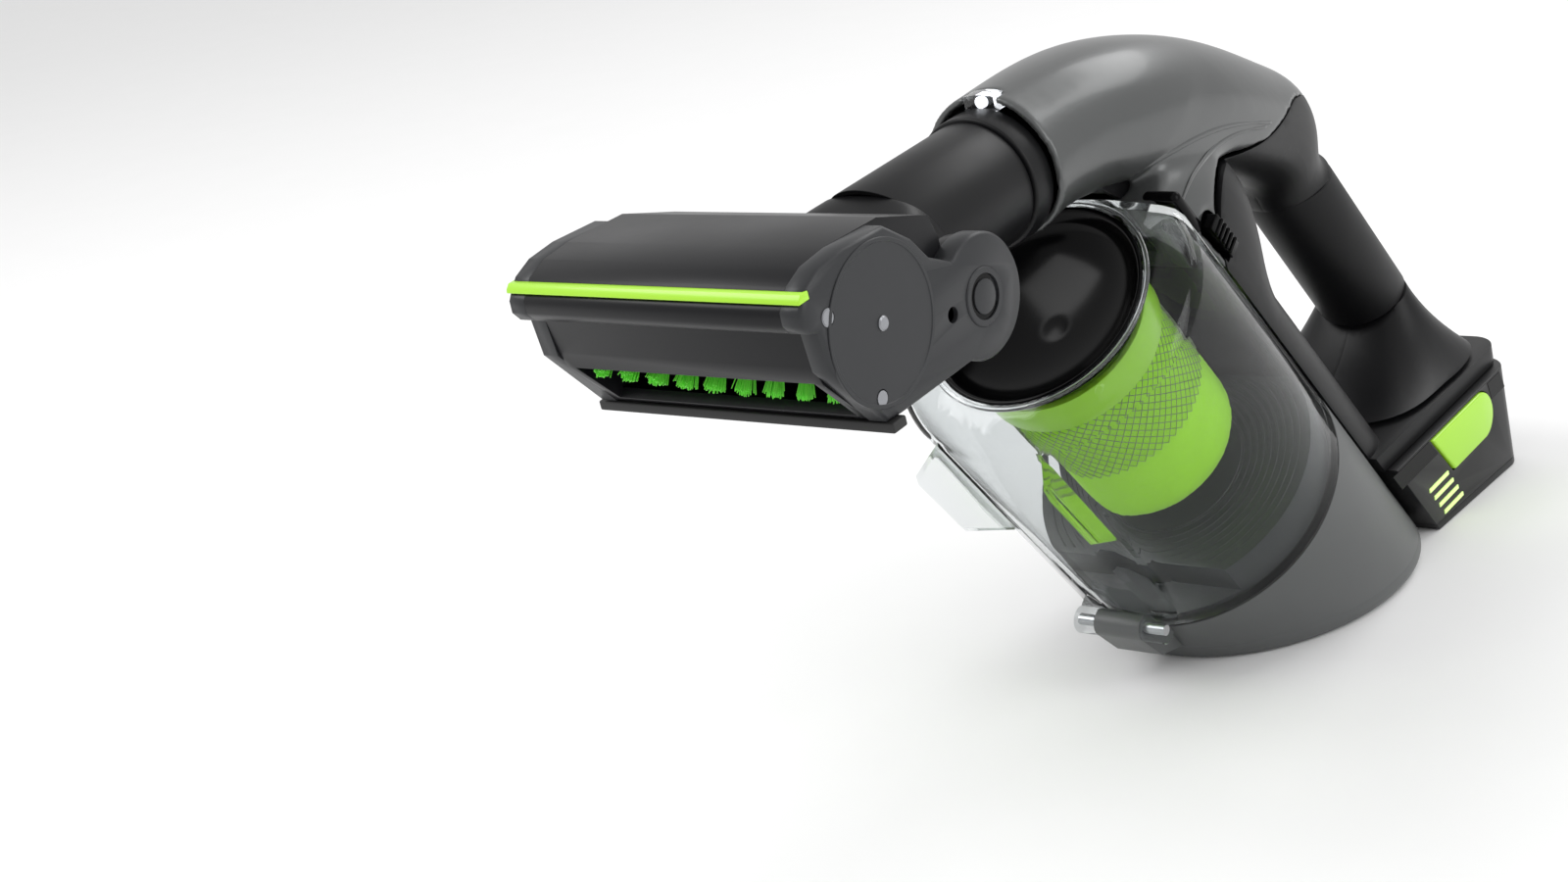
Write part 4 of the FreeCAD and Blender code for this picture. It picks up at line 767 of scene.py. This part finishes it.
lean = node(tree, "ShaderNodeVectorMath", "SCALE", i0=stray, Scale=entry.outputs["Spread"]).outputs[0]
heading = node(tree, "ShaderNodeVectorMath", "ADD", i0=out, i1=lean).outputs[0]
facing = node(tree, "FunctionNodeAlignRotationToVector", Vector=heading)
facing.axis = "Z"
filament = node(tree, "GeometryNodeMeshCone", Vertices=5, Radius_Bottom=entry.outputs["Thick"],
                Radius_Top=maths(tree, "MULTIPLY", entry.outputs["Thick"], 0.9),
                Depth=entry.outputs["Length"])
copies = node(tree, "GeometryNodeInstanceOnPoints", Points=placed.outputs[0], Instance=filament.outputs[0],
              Rotation=facing.outputs[0])
close_tree(tree, copies.outputs[0], bristle_lime, leave)
tufts = grow(tree, TUFT_SIZES, single_point(), roller_frame)
smooth(tufts, 40.0)
piece("bristle_tufts_nylon", tufts, "roller", bristle_lime, ["bristle_tufts"])

# %% [markdown]
# The wall at the back of the bin is moulded with fine concentric ribs, which catch the light as
# thin arcs. Each rib is a circle of the same section, and its radius grows with its number.

# %% Ribs on the back wall
RIB_SIZES = {"Ribs": 9, "First": 0.0275, "Pitch": 0.0027, "Thick": 0.00035}
tree, entry, leave = start_tree("round_ribs", RIB_SIZES)
dots = node(tree, "GeometryNodePoints", Count=entry.outputs["Ribs"])
number = node(tree, "GeometryNodeInputIndex").outputs[0]
radius = maths(tree, "ADD", entry.outputs["First"], maths(tree, "MULTIPLY", number, entry.outputs["Pitch"]))
ring = node(tree, "GeometryNodeCurvePrimitiveCircle", Resolution=120, Radius=1.0)
copies = node(tree, "GeometryNodeInstanceOnPoints", Points=dots.outputs[0], Instance=ring.outputs[0],
              Scale=radius)
loose = node(tree, "GeometryNodeRealizeInstances", Geometry=copies.outputs[0])
section = node(tree, "GeometryNodeCurvePrimitiveCircle", Resolution=6, Radius=entry.outputs["Thick"])
ribs = node(tree, "GeometryNodeCurveToMesh", Curve=loose.outputs[0], Profile_Curve=section.outputs[0])
close_tree(tree, ribs.outputs[0], dark_grey, leave)
wall_front = reach("bulkhead", DISC, BIN_AXIS) / MM
rib_mesh = grow(tree, RIB_SIZES, single_point(), bin_frame @ Matrix.Translation((0, 0, wall_front * MM)))
rib_mesh.shade_smooth()
RIB_FLAT = 37.0


def trimmed(mesh, matrix, limit):
    """Cuts a mesh off above a height in the frame's own up direction and closes it."""
    shape = bmesh.new()
    shape.from_mesh(mesh)
    plane_point = matrix @ Vector((0, limit * MM, 0))
    up = (matrix.to_3x3() @ Vector((0, 1, 0))).normalized()
    cut_parts = bmesh.ops.bisect_plane(shape, geom=shape.verts[:] + shape.edges[:] + shape.faces[:],
                                       plane_co=plane_point, plane_no=up, clear_outer=True)
    edges = [part for part in cut_parts["geom_cut"] if isinstance(part, bmesh.types.BMEdge)]
    bmesh.ops.holes_fill(shape, edges=edges, sides=0)
    shape.to_mesh(mesh)
    shape.free()
    return mesh


upside_down = bin_frame @ Matrix.Rotation(math.pi, 4, "Z")
rib_mesh = trimmed(trimmed(rib_mesh, bin_frame, RIB_FLAT), upside_down, RIB_FLAT)
piece("bulkhead_ribs", rib_mesh, "machine", dark_grey)
PLATE_R, PLATE_LOW, PLATE_HIGH = 27.0, 0.05, 0.5
plate_frame = bin_frame @ Matrix.Translation((0, 0, wall_front * MM))
plate_profile = [(0.0, PLATE_LOW), (PLATE_R, PLATE_LOW), (PLATE_R - 0.3, PLATE_HIGH), (0.0, PLATE_HIGH)]
plate_mesh = smooth(from_bmesh("plate", lathe(plate_profile, 96), plate_frame), 30.0)
piece("bulkhead_seat", plate_mesh, "machine", dark_grey)

# %% [markdown]
# Four screws hold the brush head's side covers. One screw head is a low dome with a cross cut
# into it, and the tree puts a copy on every place that the CAD screws have.

# %% Screw heads
SCREW_SIZES = {"Head": 0.0026, "Tall": 0.0014, "Slot": 0.0006}
tree, entry, leave = start_tree("cross_screws", SCREW_SIZES)
dome = node(tree, "GeometryNodeMeshCone", Vertices=28, Radius_Bottom=entry.outputs["Head"],
            Radius_Top=maths(tree, "MULTIPLY", entry.outputs["Head"], 0.86), Depth=entry.outputs["Tall"])
long_side = maths(tree, "MULTIPLY", entry.outputs["Head"], 1.25)
cross = node(tree, "GeometryNodeJoinGeometry")
for one, two in ((long_side, entry.outputs["Slot"]), (entry.outputs["Slot"], long_side)):
    size = node(tree, "ShaderNodeCombineXYZ", X=one, Y=two, Z=entry.outputs["Tall"]).outputs[0]
    bar = node(tree, "GeometryNodeMeshCube", Size=size)
    raised = node(tree, "GeometryNodeTransform", Geometry=bar.outputs[0],
                  Translation=node(tree, "ShaderNodeCombineXYZ", Z=entry.outputs["Tall"]).outputs[0])
    tree.links.new(raised.outputs[0], cross.inputs[0])
carve = tree.nodes.new("GeometryNodeMeshBoolean")
carve.operation = "DIFFERENCE"
tree.links.new(dome.outputs[0], carve.inputs[0])
tree.links.new(cross.outputs[0], carve.inputs[1])
ready = node(tree, "GeometryNodeMeshToPoints", Mesh=entry.outputs["Geometry"])
split = node(tree, "ShaderNodeSeparateXYZ", Vector=node(tree, "GeometryNodeInputPosition").outputs[0])
side_way = node(tree, "ShaderNodeCombineXYZ", X=maths(tree, "SIGN", split.outputs[0])).outputs[0]
facing = node(tree, "FunctionNodeAlignRotationToVector", Vector=side_way)
facing.axis = "Z"
copies = node(tree, "GeometryNodeInstanceOnPoints", Points=ready.outputs[0], Instance=carve.outputs[0],
              Rotation=facing.outputs[0])
close_tree(tree, copies.outputs[0], cover_steel, leave)

head_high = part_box("side_cover")[1]
screw_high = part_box("cover_screws")[1]
SCREW_PLACES = [(-68.5, 23.0), (-54.5, -7.5)]
SCREW_PROUD = 1.3       # from the screw's middle to its outer face
out_x = screw_high.x / MM - SCREW_PROUD
places = [head_frame @ (Vector((side * out_x, back, rise)) * MM)
          for side in (1, -1) for back, rise in SCREW_PLACES]
spots = bpy.data.meshes.new("screw places")
spots.from_pydata(places, [], [])
screw_mesh = grow(tree, SCREW_SIZES, spots, Matrix.Identity(4))
smooth(screw_mesh, 30.0)
piece("cover_screw_heads", screw_mesh, "head", cover_steel)

# %% [markdown]
# Small trim makes the head believable: a shallow round boss over the roller, the pivot cap with
# its broken ring, and the pin that shows in the middle of the boss.

# %% Trim on the side cover
cover_face = head_high.x


def boss_on(matrix, radius, tall, lip):
    """A shallow disc with a rounded lip, standing on the side cover."""
    profile = [(0.0, -0.4), (radius, -0.4), (radius, tall - 0.2), (radius - 0.2, tall), (radius - lip, tall),
               (radius - lip - 0.3, tall - 0.25), (0.0, tall - 0.25)]
    return from_bmesh("boss", lathe(profile, 96), matrix)


def on_cover(matrix):
    """The same frame, moved out to the face of the side cover."""
    return Matrix.Translation((cover_face - matrix.translation.x, 0, 0)) @ matrix


boss_mesh = smooth(boss_on(on_cover(roller_frame), 24.0, 0.45, 1.2), 30.0)
piece("side_cover_boss", boss_mesh, "head", cover_grey)
pin_mesh = smooth(from_bmesh("pin", lathe([(0.0, 0.0), (2.2, 0.0), (2.2, 0.5), (1.7, 0.9), (0.0, 0.9)], 40),
                             on_cover(roller_frame)), 30.0)
piece("roller_pin_end", pin_mesh, "head", cover_steel)
cap_profile = [(0.0, -1.6), (8.9, -1.6), (8.9, 0.1), (8.5, 0.4), (6.9, 0.4), (6.8, -0.5), (5.3, -0.5),
               (5.2, 0.3), (4.6, 0.5), (0.0, 0.6)]
cap_mesh = smooth(from_bmesh("cap", lathe(cap_profile, 72), on_cover(pivot_frame)), 30.0)
piece("pivot_cap_disc", cap_mesh, "head", cover_grey, ["pivot_cap"])


def broken_ring(radius, width, low, high, first, last, steps=60):
    """A flat arc with square section, from one angle in degrees to another."""
    shape = bmesh.new()
    rings = []
    for step in range(steps + 1):
        turn = math.radians(first + (last - first) * step / steps)
        section = ((radius, low), (radius + width, low), (radius + width, high), (radius, high))
        rings.append([shape.verts.new(ring_spot(reach_out, turn, height)) for reach_out, height in section])
    for one, two in zip(rings, rings[1:]):
        join_rings(shape, one, two, len(one))
    shape.faces.new(rings[0])
    shape.faces.new(rings[-1])
    return shape


ring_mesh = from_bmesh("ring", broken_ring(5.3, 1.5, -0.45, -0.1, 40.0, 325.0), on_cover(pivot_frame))
piece("pivot_cap_groove", ring_mesh, "head", gloss_black)

# %% [markdown]
# A small lamp sits behind the lens on the nose of the spine, and the finger catch gets its ribs.

# %% Headlight and catch
lens_low, lens_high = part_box("headlight_lens")
lamp_spot = (lens_low + lens_high) / 2
lamp_frame = Matrix.Translation(lamp_spot) @ Matrix.Rotation(math.pi / 2, 4, "X")
lamp_profile = [(0.0, -1.5), (1.9, -1.5), (2.1, 1.6), (1.8, 1.8), (1.0, 0.4), (0.0, 0.0)]
lamp_mesh = smooth(from_bmesh("lamp", lathe(lamp_profile, 48), lamp_frame), 30.0)
piece("headlight_lamp", lamp_mesh, "machine", lamp_white)

CATCH_RIBS = 5
RIB_PROUD = 0.9         # millimetres that a rib stands out
RIB_MARGIN = 2.0        # plain stretch at each end of the catch
RIB_GAP = 0.7           # half the gap between two ribs


def catch_mesh():
    """A finger catch: a rounded block with ribs across its outer face."""
    low, high = Vector((1, 1, 1)) * 1e9, Vector((1, 1, 1)) * -1e9
    for vertex in frame["nodes"]["bin_catch"].data.vertices:
        spot = local(vertex.co, bin_frame)
        low = Vector(map(min, low, spot))
        high = Vector(map(max, high, spot))
    shape = bmesh.new()
    spans = [(low.z, high.z, 0.0)]
    pitch = (high.z - low.z - 2 * RIB_MARGIN) / CATCH_RIBS
    for rib in range(CATCH_RIBS):
        start = low.z + RIB_MARGIN + pitch * rib
        spans.append((start + RIB_GAP, start + pitch - RIB_GAP, RIB_PROUD))
    for first, last, proud in spans:
        made = bmesh.ops.create_cube(shape, size=1.0)
        shift = Vector(((low.x + high.x + proud) / 2, (low.y + high.y) / 2, (first + last) / 2))
        size = Vector((high.x - low.x + proud, high.y - low.y, last - first))
        for vertex in made["verts"]:
            vertex.co = (shift + Vector(part * whole for part, whole in zip(vertex.co, size))) * MM
    mesh = from_bmesh("catch", shape, bin_frame)
    carrier = holder_of(mesh)
    bevel = carrier.modifiers.new("edges", "BEVEL")
    bevel.width = 0.5 * MM
    bevel.segments = 3
    return smooth(evaluated(carrier), 40.0)


piece("bin_catch_ribbed", catch_mesh(), "catch", gloss_black, ["bin_catch"])

# %% [markdown]
# Two dark details finish the outline. A glossy boot closes the corner between the spine and the
# bin, and thin black sheets along the battery's sides paint the shadow in the gap where it slides under the
# handle's rim.

# %% Boot and painted shadow band on the battery
def rounded_block(low, high, radius, matrix):
    """A box in millimetres of a frame, with rounded edges."""
    shape = bmesh.new()
    middle, size = (Vector(low) + Vector(high)) / 2, Vector(high) - Vector(low)
    for vertex in bmesh.ops.create_cube(shape, size=1.0)["verts"]:
        vertex.co = (middle + vertex.co * size) * MM
    carrier = holder_of(from_bmesh("block", shape, matrix))
    bevel = carrier.modifiers.new("edges", "BEVEL")
    bevel.width = radius * MM
    bevel.segments = 5
    return smooth(evaluated(carrier), 40.0)


BOOT_LOW, BOOT_HIGH = (23.0, 43.6, -24.0), (37.5, 49.0, -2.5)
boots = [rounded_block(BOOT_LOW, BOOT_HIGH, 2.4, bin_frame),
         rounded_block((-BOOT_HIGH[0], *BOOT_LOW[1:]), (-BOOT_LOW[0], *BOOT_HIGH[1:]), 2.4, bin_frame)]
piece("bin_corner_boot", smooth(joined(boots), 40.0), "machine", gloss_black)

# Painted shadow: thin black sheets that lie on the battery case where the gap under the handle's rim is in
# shade. They are not a real recess.
SHADOW_BAND_LOW, SHADOW_BAND_HIGH = -182.8, -174.9
SHADOW_BAND_OUTLINES = [[(233.5, SHADOW_BAND_HIGH), (265.0, SHADOW_BAND_HIGH), (271.0, SHADOW_BAND_LOW), (239.0, SHADOW_BAND_LOW)],
                   [(319.5, SHADOW_BAND_HIGH), (331.0, SHADOW_BAND_HIGH), (334.0, SHADOW_BAND_LOW), (321.5, SHADOW_BAND_LOW)]]
SHADOW_BAND_SIDES = ((45.8, 46.15), (-46.15, -45.8))


def slab(outline, near, far):
    """An outline of back and rise from the pivot, given a thickness across the machine."""
    shape = bmesh.new()
    rings = [[shape.verts.new(Vector((across, back, rise)) * MM) for back, rise in outline]
             for across in (near, far)]
    for ring in rings:
        shape.faces.new(ring)
    join_rings(shape, *rings, len(outline))
    return from_bmesh("slab", shape, head_frame)


# The painted shadow sheets, in black, on both sides of the battery.
shadow_slabs = [slab(outline, near, far) for outline in SHADOW_BAND_OUTLINES for near, far in SHADOW_BAND_SIDES]
piece("battery_painted_shadow_band", joined(shadow_slabs), "battery", gloss_black)

# %% [markdown]
# The parts inside keep their CAD shape, since little of them shows. Each still gets a finish that
# suits what it is made of, so that nothing looks blank when the machine is opened.

# %% Finishes for the parts inside
INSIDE = {
    lens_clear: ["headlight_lens"],
    screw_steel: ["handle_screws", "hinge_pin", "housing_screws", "motor_shaft", "drive_shaft",
                  "roller_axle"],
    soft_black: ["power_switch", "inlet_duct"],
    board_green: ["control_board", "battery_board"],
    contact_brass: ["battery_contacts", "battery_terminals"],
    seal_rubber: ["inlet_seal", "bin_seal", "motor_mount"],
    spring_steel: ["catch_spring", "button_springs"],
    filter_felt: ["exhaust_filter"],
    dark_grey: ["motor_bracket", "filter_cage", "drive_pulley", "roller_pulley"],
    motor_steel: ["motor_can", "drive_motor"],
    fan_metal: ["fan_impeller"],
    cell_sleeve: ["battery_cells"],
    cover_steel: ["cover_screws"],
    belt_rubber: ["drive_belt"],
    bush_brass: ["roller_bushes"],
}
for material, names in INSIDE.items():
    for name in names:
        slots = frame["nodes"][name].data.materials
        slots.clear()
        slots.append(material)
print("finished inside", sum(len(names) for names in INSIDE.values()))

# %% [markdown]
# A plain pale floor and large soft lamps show the form without hard shadows. A big lamp over the
# left shoulder draws the long highlight on the spine, and a second one from the right opens up
# the dark handle.

# %% Floor, light and camera
FLOOR_SIZE = 12.0
floor_shape = bmesh.new()
bmesh.ops.create_grid(floor_shape, x_segments=1, y_segments=1, size=FLOOR_SIZE)
floor_mesh = bpy.data.meshes.new("floor")
floor_shape.to_mesh(floor_mesh)
floor_shape.free()
floor = bpy.data.objects.new("floor", floor_mesh)
bpy.context.scene.collection.objects.link(floor)
floor_mesh.materials.append(finish("pale_floor", (0.86, 0.86, 0.86), 0.7, 300.0, 0.02, 0.02, 1.02))
floor.location.z = -0.0002

world = bpy.data.worlds.new("studio")
world.use_nodes = True
world.node_tree.nodes["Background"].inputs["Color"].default_value = (1, 1, 1, 1)
world.node_tree.nodes["Background"].inputs["Strength"].default_value = 0.80
bpy.context.scene.world = world
bpy.context.scene.view_settings.view_transform = "Standard"


def soft_lamp(name, place, aim, size, power):
    light = bpy.data.lights.new(name, "AREA")
    light.shape = "RECTANGLE"
    light.size, light.size_y = size
    light.energy = power
    lamp = bpy.data.objects.new(name, light)
    lamp.location = place
    lamp.rotation_euler = (Vector(aim) - Vector(place)).to_track_quat("-Z", "Y").to_euler()
    bpy.context.scene.collection.objects.link(lamp)
    return lamp


AIM = (0.0, 0.0, 0.13)
soft_lamp("key", (-0.9, -0.9, 1.5), AIM, (1.2, 0.9), 16.0)
soft_lamp("side", (1.5, 0.2, 0.9), AIM, (0.7, 1.4), 9.0)
soft_lamp("back", (0.3, 1.5, 1.3), AIM, (1.4, 0.5), 9.0)

AZIMUTH, ELEVATION, ROLL = math.radians(42.64), math.radians(18.80), math.radians(11.52)
TARGET = Vector((-0.0837, -0.0833, 0.1165))
DISTANCE = 0.8939
LENS, SENSOR = 58.5, 36.0
towards_viewer = Vector((math.cos(ELEVATION) * math.sin(AZIMUTH), -math.cos(ELEVATION) * math.cos(AZIMUTH),
                         math.sin(ELEVATION)))
level_right = Vector((math.cos(AZIMUTH), math.sin(AZIMUTH), 0))
level_up = towards_viewer.cross(level_right)
right = level_right * math.cos(ROLL) - level_up * math.sin(ROLL)
up = towards_viewer.cross(right)
camera_data = bpy.data.cameras.new("camera")
camera_data.lens = LENS
camera_data.sensor_width = SENSOR
camera = bpy.data.objects.new("camera", camera_data)
camera.matrix_world = Matrix.Translation(TARGET + towards_viewer * DISTANCE) @ Matrix(
    (right, up, towards_viewer)).transposed().to_4x4()
bpy.context.scene.collection.objects.link(camera)
bpy.context.scene.camera = camera
